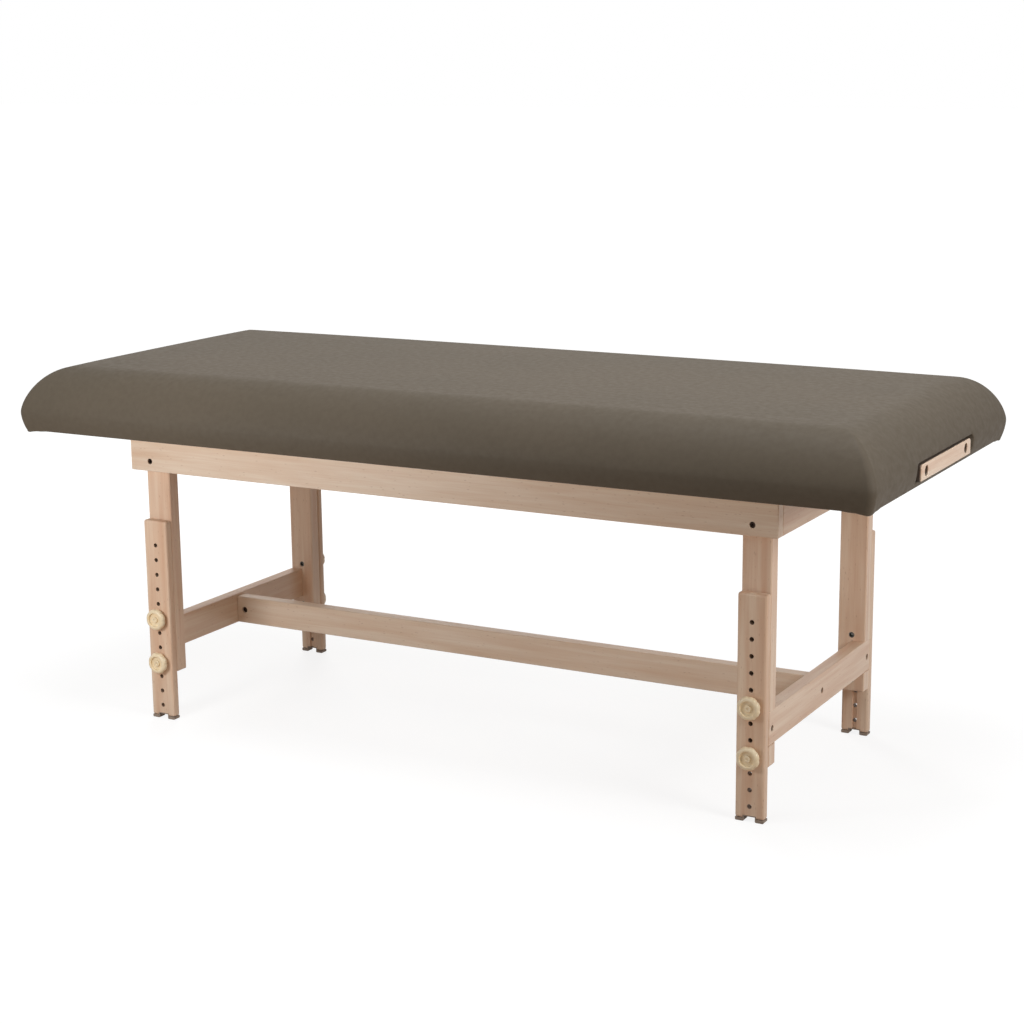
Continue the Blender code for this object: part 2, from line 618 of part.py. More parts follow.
def make_knob(name, place, outward, parent, plastic):
    """A moulded round knob: a hub on the wood, a fluted rim, and a dished front with a boss."""
    rim, dish, boss = KNOB_DIA / 2, KNOB_DISH_DIA / 2, KNOB_BOSS_DIA / 2
    floor = KNOB_DEPTH - KNOB_DISH_DEPTH
    bore = STUD_DIA / 2 + BORE_CLEAR
    round_start = rim - KNOB_RIM
    profile = [
        (0, STUD_IN_KNOB + END_CLEAR),
        (bore, STUD_IN_KNOB + END_CLEAR),
        (bore, 0),
        (KNOB_HUB_DIA / 2, 0),
        (KNOB_HUB_DIA / 2, KNOB_HUB_LENGTH),
        (round_start, KNOB_HUB_LENGTH),
    ]
    middle = (KNOB_HUB_LENGTH + KNOB_DEPTH) / 2
    for turn in np.radians([-45, 0, 45]):
        tall = (KNOB_DEPTH - KNOB_HUB_LENGTH) / 2
        profile.append((round_start + KNOB_RIM * math.cos(turn), middle + tall * math.sin(turn)))
    profile += [
        (dish, KNOB_DEPTH),
        (dish - KNOB_DISH_DEPTH / 2, floor),
        (boss, floor),
        (boss - KNOB_DISH_DEPTH / 4, KNOB_DEPTH - KNOB_DISH_DEPTH / 4),
        (0, KNOB_DEPTH - KNOB_DISH_DEPTH / 4),
    ]

    def form(radius, angle):
        """Round inside, with shallow flutes cut into the rim."""
        if radius <= round_start:
            return radius
        return radius - KNOB_FLUTE_DEPTH * (0.5 + 0.5 * math.cos(KNOB_FLUTES * angle))

    bm = add_turned(bmesh.new(), profile, place, outward, KNOB_SIDES, form)
    make_object(name, bm, plastic, place, parent, smooth=True)


def make_clamp(corner, level, sx, sy, steel, plastic):
    """A knob, the stud moulded into it, and the insert nut in the leg that takes the stud."""
    z = STUD_Z[level]
    outward = (0, sy, 0)
    inner_end = LEG_Y_IN + STUD_END_INSIDE
    face = EXTENSION_Y_OUT + GAP
    axis = joint_empty(f"screw_{corner}_{level}", (sx * LEG_X_MID, sy * face, z))
    start = (sx * LEG_X_MID, sy * inner_end, z)
    length = face + STUD_IN_KNOB - inner_end
    body = add_turned(bmesh.new(), [(STUD_DIA / 2, 0), (STUD_DIA / 2, length)], start, outward)
    make_object(f"stud_{corner}_{level}", body, steel, axis.location, axis, smooth=True)
    make_knob(f"knob_{corner}_{level}", axis.location, outward, axis, plastic)
    bore = hole_radius(STUD_DIA)
    ring = [(bore, 0), (INSERT_DIA / 2, 0), (INSERT_DIA / 2, INSERT_LENGTH), (bore, INSERT_LENGTH)]
    base = (sx * LEG_X_MID, sy * (LEG_Y_IN + INSERT_SUNK), z)
    body = add_turned(bmesh.new(), ring, base, outward, closed=True)
    make_object(f"insert_nut_{corner}_{level}", body, steel, origin=base, smooth=True)


def main():
    """Build every piece of the table."""
    clear_scene()
    beech = finish("clear lacquered beech", "#D2B69F", 0.42)
    plywood = finish("birch plywood", "#C9AE8C", 0.6)
    foam = finish("upholstery foam", "#D9CFB4", 0.95)
    vinyl = finish("taupe upholstery vinyl", "#6F665B", 0.5)
    plastic = finish("cream moulded nylon", "#DCC9A8", 0.38)
    rubber = finish("grey brown rubber", "#6A6058", 0.8)
    steel = finish("black oxide steel", "#3A3632", 0.45, 1.0)
    zinc = finish("zinc plated steel", "#9C9A93", 0.35, 1.0)
    make_deck(plywood)
    make_foam(foam)
    make_cover(vinyl)
    make_cradle_block(beech)
    make_upper_frame(beech)
    make_lower_frame(beech)
    make_fasteners(steel)
    for corner, (sx, sy) in CORNERS.items():
        make_upper_leg(corner, sx, sy, beech)
        make_extension(corner, sx, sy, beech, rubber)
        for level in STUD_Z:
            make_clamp(corner, level, sx, sy, zinc, plastic)


main()
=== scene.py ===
# %% [markdown]
# # A massage table, dressed around its solid model
# The table is a thick vinyl pad on a pale beech frame. Its solid model already has every piece of
# wood, steel, plastic and rubber at its real size, so this lesson adds what the eye looks for: the
# drawn vinyl, the grain of the wood, the moulded knobs, the threads, and a plain studio.
#
# The model is loaded first and never moved.

# %% Load the solid model
import json
import math

import bmesh
import bpy
import numpy as np
from mathutils import Matrix, Vector


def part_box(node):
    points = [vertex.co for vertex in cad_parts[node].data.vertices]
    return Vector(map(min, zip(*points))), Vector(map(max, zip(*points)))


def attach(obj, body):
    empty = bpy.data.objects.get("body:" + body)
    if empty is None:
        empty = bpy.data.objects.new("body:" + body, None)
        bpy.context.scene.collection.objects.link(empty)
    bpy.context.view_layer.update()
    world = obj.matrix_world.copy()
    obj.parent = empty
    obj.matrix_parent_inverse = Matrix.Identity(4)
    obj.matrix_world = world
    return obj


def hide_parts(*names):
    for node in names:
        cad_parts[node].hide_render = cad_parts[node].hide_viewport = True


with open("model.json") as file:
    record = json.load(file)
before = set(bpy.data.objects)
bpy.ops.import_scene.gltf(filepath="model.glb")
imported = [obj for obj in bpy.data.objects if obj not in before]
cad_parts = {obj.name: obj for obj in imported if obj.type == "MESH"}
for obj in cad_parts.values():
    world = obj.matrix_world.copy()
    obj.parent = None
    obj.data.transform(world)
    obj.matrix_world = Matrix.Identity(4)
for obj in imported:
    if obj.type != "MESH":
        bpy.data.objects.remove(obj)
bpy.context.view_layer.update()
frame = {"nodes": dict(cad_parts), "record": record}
NODES = frame["nodes"]

# %% [markdown]
# ## The camera
# A picture taken with a long lens shows nearly parallel edges. The place, the turn and the lens were
# worked out from straight edges of the frame and from the row of holes in the legs, which are evenly
# spaced on the real table. Three unit vectors (right, up and back) make the camera's own axes.

# %% Camera
CAMERA_PLACE = Vector((2.0486, -3.6759, 1.3926))
YAW, PITCH, ROLL = (math.radians(a) for a in (28.87, -12.52, -0.61))
LENS_MM, SENSOR_MM = 73.75, 36.0

ahead = Vector((-math.sin(YAW) * math.cos(PITCH), math.cos(YAW) * math.cos(PITCH), math.sin(PITCH)))
level = Vector((math.cos(YAW), math.sin(YAW), 0))
upright = level.cross(ahead)
right = level * math.cos(ROLL) + upright * math.sin(ROLL)
up = upright * math.cos(ROLL) - level * math.sin(ROLL)
camera = bpy.data.objects.new("camera", bpy.data.cameras.new("camera"))
camera.data.lens = LENS_MM
camera.data.sensor_width = SENSOR_MM
camera.matrix_world = Matrix.Translation(CAMERA_PLACE) @ Matrix((right, up, -ahead)).transposed().to_4x4()
bpy.context.scene.collection.objects.link(camera)
bpy.context.scene.camera = camera
print("camera at", tuple(round(v, 2) for v in CAMERA_PLACE), "with a lens of", LENS_MM, "mm")

# %% [markdown]
# ## Surfaces from numbers
# Most new pieces are a grid of points: rows along a profile, columns round an axis or along an edge.
# numpy works out all the points of a grid at once, and the faces follow from the grid's size alone.
# Grids that share an edge are welded, and the poles of a turned piece close in the same weld.

# %% Helpers for surfaces
WELD_DISTANCE = 2e-6


def grid_faces(rows, columns, wrap=False):
    """Four-sided faces of a grid stored row by row; wrap joins the last column to the first."""
    r = np.arange(rows - 1)[:, None]
    c = np.arange(columns if wrap else columns - 1)[None, :]
    n = (c + 1) % columns
    corners = [r * columns + c, r * columns + n, (r + 1) * columns + n, (r + 1) * columns + c]
    return np.stack(corners, -1).reshape(-1, 4)


def make_piece(name, grids, finish, body, replaced=(), sharp=40):
    """Weld (points, faces) grids into one object with its finish, and let it ride on a body.

    Edges that turn by more than sharp degrees stay crisp, and all others are shaded smooth.
    """
    offsets = np.cumsum([0] + [len(points) for points, _ in grids[:-1]])
    points = np.concatenate([points for points, _ in grids])
    faces = np.concatenate([faces + start for (_, faces), start in zip(grids, offsets)])
    mesh = bpy.data.meshes.new(name)
    mesh.from_pydata(points.tolist(), [], faces.tolist())
    bm = bmesh.new()
    bm.from_mesh(mesh)
    bmesh.ops.remove_doubles(bm, verts=bm.verts, dist=WELD_DISTANCE)
    bmesh.ops.recalc_face_normals(bm, faces=bm.faces)
    bm.to_mesh(mesh)
    bm.free()
    mesh.shade_smooth()
    mesh.set_sharp_from_angle(angle=math.radians(sharp))
    mesh.materials.append(finish)
    piece = bpy.data.objects.new(name, mesh)
    bpy.context.scene.collection.objects.link(piece)
    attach(piece, body)
    if replaced:
        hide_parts(*replaced)
    return piece


def turned(profile, base, axis, columns, reach=None):
    """A profile of (radius, distance) turned about an axis that starts at base.

    A point is base + axis * distance + radius * (cos a * across + sin a * other), and reach(radius,
    distance, a) may change the radius, for flutes or threads.
    """
    axis = np.array(axis, float)
    across = np.roll(axis, 1)
    other = np.cross(axis, across)
    radius, distance = np.array(profile, float).T[:, :, None]
    turn = np.linspace(0, 2 * math.pi, columns, endpoint=False)[None, :]
    radius = radius + 0 * turn if reach is None else reach(radius, distance, turn)
    spokes = np.cos(turn)[..., None] * across + np.sin(turn)[..., None] * other
    points = np.array(base, float) + axis * distance[..., None] + radius[..., None] * spokes
    return points.reshape(-1, 3), grid_faces(len(profile), columns, wrap=True)


def arc(centre, radii, start, stop, count):
    """Points (radius, distance) on part of an ellipse, angles in degrees from the radius axis."""
    turn = np.radians(np.linspace(start, stop, count))
    return np.array(centre) + np.stack([radii[0] * np.cos(turn), radii[1] * np.sin(turn)], -1)


print("surfaces are welded at", 1000 * WELD_DISTANCE, "mm")

# %% [markdown]
# ## Finishes
# A finish is a small network of nodes. Patterns read Object coordinates, which are metres here, so a
# pattern's scale is 1000 over its real size in millimetres. Colours are written as they look on a
# screen and turned into the linear values that the renderer counts in.
#
# A Mix node has sockets for numbers, vectors and colours under the same names, so the ones for colours
# are reached by their places in its lists: the share, the two colours and the mixed colour.

# %% Helpers for finishes
SHARE, FIRST, SECOND, MIXED = 0, 6, 7, 2


def colour(code):
    """An sRGB hex colour as linear red, green, blue and alpha."""
    parts = np.array([int(code[i : i + 2], 16) for i in (1, 3, 5)]) / 255
    return (*np.where(parts <= 0.04045, parts / 12.92, ((parts + 0.055) / 1.055) ** 2.4), 1.0)


def add_node(tree, kind, sockets=(), **settings):
    """Add one node: settings are its options, and sockets are its inputs' values or links."""
    node = tree.nodes.new(kind)
    for key, value in settings.items():
        setattr(node, key, value)
    for key, value in dict(sockets).items():
        if isinstance(value, bpy.types.NodeSocket):
            tree.links.new(value, node.inputs[key])
        else:
            node.inputs[key].default_value = value
    return node


def new_finish(name):
    """An empty node material: its tree and its object coordinates in metres."""
    finish = bpy.data.materials.new(name)
    finish.use_nodes = True
    finish.node_tree.nodes.clear()
    place = add_node(finish.node_tree, "ShaderNodeTexCoord").outputs["Object"]
    return finish, finish.node_tree, place


def close_finish(finish, sockets):
    """Give the finish its Principled shader and output."""
    tree = finish.node_tree
    shader = add_node(tree, "ShaderNodeBsdfPrincipled", sockets)
    add_node(tree, "ShaderNodeOutputMaterial", {"Surface": shader.outputs["BSDF"]})
    print("finish:", finish.name, "with", len(tree.nodes), "nodes")
    return finish


# %% [markdown]
# ### Vinyl
# Upholstery vinyl is PVC pressed onto a knitted back, embossed with a fine leather grain. The eye
# sees a soft, wide highlight, a pebbled surface close to, and cloudy changes of tone where hands and
# oil have been. The real pebbles are about 1 mm; they are drawn at 2.4 mm so that they still show.

# %% Taupe upholstery vinyl
CLOUD_MM, MOTTLE_MM, PEBBLE_MM, PORE_MM = 300, 12, 2.4, 0.9
TAUPE, PALE_TAUPE, DARK_TAUPE = (colour(code) for code in ("#585044", "#62584B", "#50483E"))


def make_vinyl():
    """Cloudy taupe colour, with Voronoi pebbles less fine pores as bump."""
    finish, tree, place = new_finish("taupe_upholstery_vinyl")
    cloud, mottle, pore = (
        add_node(tree, "ShaderNodeTexNoise", {"Vector": place, "Scale": 1000 / size, "Detail": detail})
        for size, detail in ((CLOUD_MM, 3.0), (MOTTLE_MM, 4.0), (PORE_MM, 2.0))
    )
    pebble = add_node(
        tree,
        "ShaderNodeTexVoronoi",
        {"Vector": place, "Scale": 1000 / PEBBLE_MM, "Randomness": 0.9},
        feature="SMOOTH_F1",
    )
    cloudy = add_node(
        tree,
        "ShaderNodeMix",
        {SHARE: cloud.outputs["Fac"], FIRST: TAUPE, SECOND: PALE_TAUPE},
        data_type="RGBA",
    )
    worn = add_node(
        tree,
        "ShaderNodeMapRange",
        {"Value": mottle.outputs["Fac"], "From Min": 0.35, "From Max": 0.7, "To Max": 0.2},
    )
    base = add_node(
        tree,
        "ShaderNodeMix",
        {SHARE: worn.outputs[0], FIRST: cloudy.outputs[MIXED], SECOND: DARK_TAUPE},
        data_type="RGBA",
    )
    rough = add_node(
        tree,
        "ShaderNodeMapRange",
        {"Value": mottle.outputs["Fac"], "From Min": 0.3, "From Max": 0.7, "To Min": 0.58, "To Max": 0.70},
    )
    relief = add_node(
        tree,
        "ShaderNodeMath",
        {0: pebble.outputs["Distance"], 1: pore.outputs["Fac"]},
        operation="SUBTRACT",
    )
    bump = add_node(
        tree, "ShaderNodeBump", {"Height": relief.outputs[0], "Strength": 0.10, "Distance": 0.0006}
    )
    return close_finish(
        finish,
        {
            "Base Color": base.outputs[MIXED],
            "Roughness": rough.outputs[0],
            "IOR": 1.5,
            "Specular IOR Level": 0.2,
            "Normal": bump.outputs["Normal"],
        },
    )


VINYL = make_vinyl()

# %% [markdown]
# ### Beech
# Steamed beech is pale pink brown. Planed and lacquered, it shows soft streaks along the board, about
# 10 to 20 mm wide, fine fibres, and the short brown flecks of its rays, a few millimetres long. A
# tree grows along its trunk, so each pattern is stretched along one axis of the piece. The random
# number of each object moves the pattern, so that no two boards are cut from the same plank. The long
# rails and the stretcher come from paler boards than the legs.
#
# Three noises darken the wood one after another. Each has its own width, its stretch (how many times
# longer it is than wide), the range of the noise that counts, and the most that it darkens.

# %% Lacquered beech along each axis
GRAIN = {
    "streak": {"stretch": 18, "detail": 5.0, "warp": 0.4, "low": 0.32, "high": 0.72, "most": 0.8},
    "board": {"stretch": 5, "detail": 2.0, "warp": 0.0, "low": 0.35, "high": 0.70, "most": 0.35},
    "fibre": {"stretch": 40, "detail": 3.0, "warp": 0.0, "low": 0.45, "high": 0.75, "most": 0.28},
}
BOARD_MM, FIBRE_MM, RAY_MM, RAY_STRETCH = 120, 1.6, 4.2, 3.5
PLANK_SPREAD = 9.0
# Near-black brown, painted into the holes and the block's slot as painted shade.
PAINTED_SHADE_COLOUR = colour("#2A1F18")


def make_wood(name, along, light, dark, fleck, streak_mm=16.0, coat=0.25, painted_shade=None):
    """Noise drawn out along one axis for streaks and fibres, and Voronoi cells for ray flecks.

    Where the mask function given last is one, the colour is painted nearly black and matt: painted shade
    inside a socket or a hole.
    """
    finish, tree, place = new_finish(name)
    own = add_node(tree, "ShaderNodeObjectInfo").outputs["Random"]
    plank = add_node(tree, "ShaderNodeMath", {0: own, 1: PLANK_SPREAD}, operation="MULTIPLY").outputs[0]

    def drawn_out(stretch):
        """Object coordinates squeezed along the grain by a factor, so that patterns run long."""
        scale = [1.0, 1.0, 1.0]
        scale["XYZ".index(along)] = 1 / stretch
        return add_node(tree, "ShaderNodeMapping", {"Vector": place, "Scale": scale}).outputs[0]

    base = colour(light)
    width_mm = {"streak": streak_mm, "board": BOARD_MM, "fibre": FIBRE_MM}
    noise = {}
    for kind, grain in GRAIN.items():
        noise[kind] = add_node(
            tree,
            "ShaderNodeTexNoise",
            {
                "Vector": drawn_out(grain["stretch"]),
                "W": plank,
                "Scale": 1000 / width_mm[kind],
                "Detail": grain["detail"],
                "Distortion": grain["warp"],
            },
            noise_dimensions="4D",
        ).outputs["Fac"]
        share = add_node(
            tree,
            "ShaderNodeMapRange",
            {
                "Value": noise[kind],
                "From Min": grain["low"],
                "From Max": grain["high"],
                "To Max": grain["most"],
            },
        )
        base = add_node(
            tree,
            "ShaderNodeMix",
            {SHARE: share.outputs[0], FIRST: base, SECOND: colour(dark)},
            data_type="RGBA",
        ).outputs[MIXED]
    fibre = noise["fibre"]
    ray = add_node(
        tree,
        "ShaderNodeTexVoronoi",
        {"Vector": drawn_out(RAY_STRETCH), "W": plank, "Scale": 1000 / RAY_MM},
        voronoi_dimensions="4D",
    )
    spot = add_node(
        tree,
        "ShaderNodeMapRange",
        {"Value": ray.outputs["Distance"], "From Min": 0.10, "From Max": 0.26, "To Min": 0.4, "To Max": 0.0},
    )
    base = add_node(
        tree,
        "ShaderNodeMix",
        {SHARE: spot.outputs[0], FIRST: base, SECOND: colour(fleck)},
        data_type="RGBA",
    ).outputs[MIXED]
    polish = add_node(
        tree,
        "ShaderNodeMapRange",
        {"Value": fibre, "From Min": 0.3, "From Max": 0.7, "To Min": 0.42, "To Max": 0.56},
    ).outputs[0]
    # Painted shade: where the mask is one, the colour goes nearly black and the surface goes matt.
    if painted_shade:
        shade_share = painted_shade(tree, place)
        base = add_node(
            tree, "ShaderNodeMix", {SHARE: shade_share, FIRST: base, SECOND: PAINTED_SHADE_COLOUR}, data_type="RGBA"
        ).outputs[MIXED]
        polish = add_node(tree, "ShaderNodeMath", {0: polish, 1: shade_share}, operation="MAXIMUM").outputs[0]
    bump = add_node(tree, "ShaderNodeBump", {"Height": fibre, "Strength": 0.12, "Distance": 0.0003})
    return close_finish(
        finish,
        {
            "Base Color": base,
            "Roughness": polish,
            "IOR": 1.5,
            "Coat Weight": coat,
            "Coat Roughness": 0.22,
            "Normal": bump.outputs["Normal"],
        },
    )


BEECH_TONES = ("#F0DBC4", "#D2A686", "#A2714F")
PALE_BEECH_TONES = ("#F2E4D2", "#D6B496", "#A67E60")
BIRCH_TONES = ("#D8C19C", "#BFA078", "#A58460")
BEECH = {a: make_wood(f"lacquered_beech_along_{a}", a, *BEECH_TONES) for a in "YZ"}
BEECH["X"] = make_wood("lacquered_beech_along_X", "X", *PALE_BEECH_TONES)
BIRCH_PLY = make_wood("birch_plywood", "X", *BIRCH_TONES, streak_mm=45.0, coat=0.0)

# %% [markdown]
# ### Nylon, rubber and steel
# The knobs are injection-moulded nylon: cream, slightly cloudy, with a satin skin. The feet are grey
# brown rubber that picks up dust. The bolts are blackened steel, worn to bare metal in places, and the
# studs, inserts and staples are zinc plated, which dulls to a patchy grey.

# %% Moulded and plated finishes
CLOUD_TIMES = 8


def make_speckled(name, main, second, grain_mm, rough, bump_mm, metallic=0.0, ior=1.5):
    """Two colours mixed by the product of a fine and a wide noise; the fine one is also the bump."""
    finish, tree, place = new_finish(name)
    wide, grain = (
        add_node(tree, "ShaderNodeTexNoise", {"Vector": place, "Scale": 1000 / size, "Detail": detail})
        for size, detail in ((CLOUD_TIMES * grain_mm, 3.0), (grain_mm, 4.0))
    )
    both = add_node(
        tree, "ShaderNodeMath", {0: wide.outputs["Fac"], 1: grain.outputs["Fac"]}, operation="MULTIPLY"
    )
    share = add_node(
        tree, "ShaderNodeMapRange", {"Value": both.outputs[0], "From Min": 0.15, "From Max": 0.42}
    )
    base = add_node(
        tree,
        "ShaderNodeMix",
        {SHARE: share.outputs[0], FIRST: colour(main), SECOND: colour(second)},
        data_type="RGBA",
    )
    least, most = rough
    polish = add_node(
        tree,
        "ShaderNodeMapRange",
        {"Value": grain.outputs["Fac"], "From Min": 0.3, "From Max": 0.7, "To Min": least, "To Max": most},
    )
    bump = add_node(
        tree,
        "ShaderNodeBump",
        {"Height": grain.outputs["Fac"], "Strength": 0.25, "Distance": bump_mm / 1000},
    )
    sockets = {
        "Base Color": base.outputs[MIXED],
        "Roughness": polish.outputs[0],
        "Metallic": metallic,
        "Normal": bump.outputs["Normal"],
    }
    if metallic == 0:
        sockets["IOR"] = ior
    return close_finish(finish, sockets)


NYLON = make_speckled("cream_moulded_nylon", "#F8E8C8", "#EED8B0", 1.5, (0.24, 0.36), 0.05, ior=1.53)
RUBBER = make_speckled("dusty_brown_rubber", "#94857A", "#AC9C8C", 1.2, (0.7, 0.9), 0.15, ior=1.52)
BLACK_STEEL = make_speckled("blackened_steel", "#241B17", "#43362F", 1.0, (0.38, 0.55), 0.03, 1.0)
ZINC = make_speckled("zinc_plated_steel", "#7C7A74", "#54534E", 1.6, (0.26, 0.42), 0.02, 1.0)
PALE_FOAM = make_speckled("open_cell_foam", "#D8CDB0", "#BFB18E", 1.5, (0.85, 0.95), 0.4)

# %% [markdown]
# ## Solid pieces that stay as they are
# The rails, legs, deck and hidden hardware have their true shape in the solid model. They keep it and
# only take a finish. The walls of the holes in the leg extensions are painted nearly black, as painted
# shade. They could be painted face by face, but the solid is left alone, so the finish works out the
# distance to the nearest hole.

# %% Painted shade in the holes of the leg extensions
HOLE_PITCH, HOLE_COUNT, LOWEST_HOLE_UP = 0.03175, 12, 0.030
# The last number is how far the painted shade darkens a hole's wall.
HOLE_RADIUS, HOLE_BLUR, HOLE_SHADE_STRENGTH = 0.0042, 0.0005, 0.9
LEG_MID_X = float(sum(corner[0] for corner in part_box("leg_extension_front_right"))) / 2


def hole_painted_shade(tree, place):
    """Painted shade within a hole's radius, from the distance in X and Z to the nearest of the even holes.

    The place is folded onto one leg and measured from the lowest hole. It is held half a pitch past
    the ends of the row and wrapped by the pitch, which leaves the way to the nearest hole.
    """
    half = HOLE_PITCH / 2
    steps = {
        "ABSOLUTE": {},
        "SUBTRACT": {1: (LEG_MID_X, 0, LOWEST_HOLE_UP)},
        "MAXIMUM": {1: (-1, -1, -half)},
        "MINIMUM": {1: (1, 1, HOLE_COUNT * HOLE_PITCH - half)},
        "WRAP": {1: (1, 1, half), 2: (-1, -1, -half)},
        "MULTIPLY": {1: (1, 0, 1)},
    }
    for operation, operands in steps.items():
        step = add_node(tree, "ShaderNodeVectorMath", {0: place, **operands}, operation=operation)
        place = step.outputs["Vector"]
    away = add_node(tree, "ShaderNodeVectorMath", {0: place}, operation="LENGTH").outputs["Value"]
    edge = {
        "Value": away,
        "From Min": HOLE_RADIUS,
        "From Max": HOLE_RADIUS + HOLE_BLUR,
        "To Min": HOLE_SHADE_STRENGTH,
        "To Max": 0.0,
    }
    return add_node(tree, "ShaderNodeMapRange", edge).outputs[0]


# Beech for the leg extensions, with painted shade on the walls of their holes.
BEECH_WITH_PAINTED_HOLE_SHADE = make_wood("beech_with_painted_hole_shade_along_Z", "Z", *BEECH_TONES, coat=0.0, painted_shade=hole_painted_shade)

# %% [markdown]
# The record names a material for every node. A list of finishes by hand would do as well, but it would
# miss a node that is added later. A board is cut with its grain along its length, so the grain of wood
# follows from the node's name: along X in the long rails, upright in the legs, and across in the rest.

# %% Finishes on the solid pieces
FINISH_OF = {
    "plywood": BIRCH_PLY,
    "foam": PALE_FOAM,
    "vinyl": VINYL,
    "knob": NYLON,
    "rubber": RUBBER,
    "bolt": BLACK_STEEL,
    "zinc": ZINC,
}
ALONG_X = ("side_rail", "stretcher")
ALONG_Z = ("upper_leg", "leg_extension")
for part in frame["record"]["subparts"]:
    name, slot = part["node"], part["material_slot"]
    grain = "X" if name.startswith(ALONG_X) else "Z" if name.startswith(ALONG_Z) else "Y"
    wood = BEECH_WITH_PAINTED_HOLE_SHADE if name.startswith("leg_extension") else BEECH[grain]
    NODES[name].material_slots[0].material = FINISH_OF.get(slot, wood)

# %% [markdown]
# ## The padded top
# Foam is glued to a plywood deck, and the vinyl is drawn over it and stapled underneath. That gives
# the shape: a side that leans out from the deck's edge, a widest line, and an edge that rolls over to
# the flat top. Where two sides meet, the vinyl is mitred, so the plan has sharp corners.
#
# It could be a box with a large bevel, but a bevel is a quarter circle and this edge isn't. So the
# edge profile is a superellipse carried round a rectangle whose corners have a small radius, and the
# top is a grid that meets the last ring point for point. Two powers shape the superellipse: a high
# one lets the top run softly into the edge, and a low one keeps the widest line crisp.
#
# The vinyl has a thickness, and its cut edge shows under the deck. So the profile starts with a
# lining: it runs from the deck's middle over the deck's top and down round it to the lip.

# %% Edge profile of the pad
PAD_LOW, PAD_HIGH = (np.array(corner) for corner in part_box("vinyl_cover"))
PAD_HALF_X, PAD_HALF_Y = (PAD_HIGH - PAD_LOW)[:2] / 2
UNDERSIDE = PAD_LOW[2]
PAD_HEIGHT = PAD_HIGH[2] - UNDERSIDE
PAD_TUCK, PAD_WIDEST_UP, PAD_EDGE_IN = 0.0075, 0.038, 0.0947
PAD_TOP_POWER, PAD_SIDE_POWER = 2.2, 1.52
PAD_HEM, PAD_LIP = 0.004, 0.040
VINYL_THICK, DECK_CLEAR = 0.0015, 0.0002
DECK_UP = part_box("deck_panel")[1][2] + DECK_CLEAR - UNDERSIDE
LIP_ROWS, HEM_ROWS, SIDE_ROWS, EDGE_ROWS, ROLL_ROWS = 7, 6, 24, 8, 26
EDGE_ANGLE = 9


def pad_edge():
    """Inset and height along the edge: flat lip, quarter-round hem, leaning side, superellipse.

    The superellipse has closer rows up to the edge angle, where it leaves the widest line.
    """
    turn = np.radians(np.linspace(0, 90, HEM_ROWS))
    rise = np.linspace(0, 1, SIDE_ROWS + 1)[1:]
    edge = np.linspace(0, EDGE_ANGLE, EDGE_ROWS + 1)[1:]
    roll = np.linspace(EDGE_ANGLE, 90, ROLL_ROWS + 1)[1:]
    over = np.radians(np.concatenate([edge, roll]))
    inset = [
        np.linspace(PAD_TUCK + PAD_LIP, PAD_TUCK + PAD_HEM, LIP_ROWS + 1)[:-1],
        PAD_TUCK + PAD_HEM * (1 - np.sin(turn)),
        PAD_TUCK * (1 - rise) ** 2,
        PAD_EDGE_IN * (1 - np.abs(np.cos(over)) ** (2 / PAD_TOP_POWER)),
    ]
    height = [
        np.zeros(LIP_ROWS),
        PAD_HEM * (1 - np.cos(turn)),
        PAD_HEM + rise * (PAD_WIDEST_UP - PAD_HEM),
        PAD_WIDEST_UP + (PAD_HEIGHT - PAD_WIDEST_UP) * np.sin(over) ** (2 / PAD_SIDE_POWER),
    ]
    return np.concatenate(inset), np.concatenate(height)


def pad_lining(inset, height):
    """The edge profile below the deck's top, moved inwards along its normal by the vinyl's thickness."""
    along = np.stack([np.gradient(inset), np.gradient(height)], -1)
    along[0] = (-1, 0)
    along /= np.linalg.norm(along, axis=1, keepdims=True)
    inner_in = inset + VINYL_THICK * along[:, 1]
    inner_up = height - VINYL_THICK * along[:, 0]
    last = int(np.argmax(inner_up > DECK_UP))
    rim = np.interp(DECK_UP, inner_up[last - 1 : last + 1], inner_in[last - 1 : last + 1])
    return np.append(inner_in[:last], rim)[::-1], np.append(inner_up[:last], DECK_UP)[::-1]


inset, height = pad_edge()
lining_in, lining_up = pad_lining(inset, height)
print("edge profile:", len(inset), "rows, and a lining of", len(lining_in))

# %% [markdown]
# Each point of the profile becomes a ring: four corner arcs with straight sides between them. The
# points lie closer beside the wooden block at the head end, where the vinyl is tucked in later.

# %% Rings round the pad
BLOCK_LOW, BLOCK_HIGH = (np.array(corner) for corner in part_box("cradle_block"))
SLOT_SIDE_CLEAR, SLOT_TOP_CLEAR = 0.020, 0.0045
SLOT_HALF, SLOT_TOP = BLOCK_HIGH[1] + SLOT_SIDE_CLEAR, BLOCK_HIGH[2] + SLOT_TOP_CLEAR
PAD_CORNER, CORNER_STEPS = 0.014, 24
ALONG_STEPS, COARSE_STEP, FINE_STEP, FINE_REACH = 140, 0.012, 0.0014, 0.010


def steps_with_fine(half, middle):
    """Fractions from -1 to 1 of a half length: coarse steps, but fine ones about middle and -middle."""
    wide = np.arange(0, half, COARSE_STEP)
    wide = wide[np.abs(wide - middle) > FINE_REACH]
    near = np.arange(middle - FINE_REACH, middle + FINE_REACH + FINE_STEP / 2, FINE_STEP)
    one_side = np.unique(np.round(np.concatenate([wide, near, [half]]) / half, 9))
    return np.concatenate([-one_side[:0:-1], one_side])


ALONG = np.linspace(-1, 1, ALONG_STEPS + 1)
ACROSS = steps_with_fine(PAD_HALF_Y, SLOT_HALF)


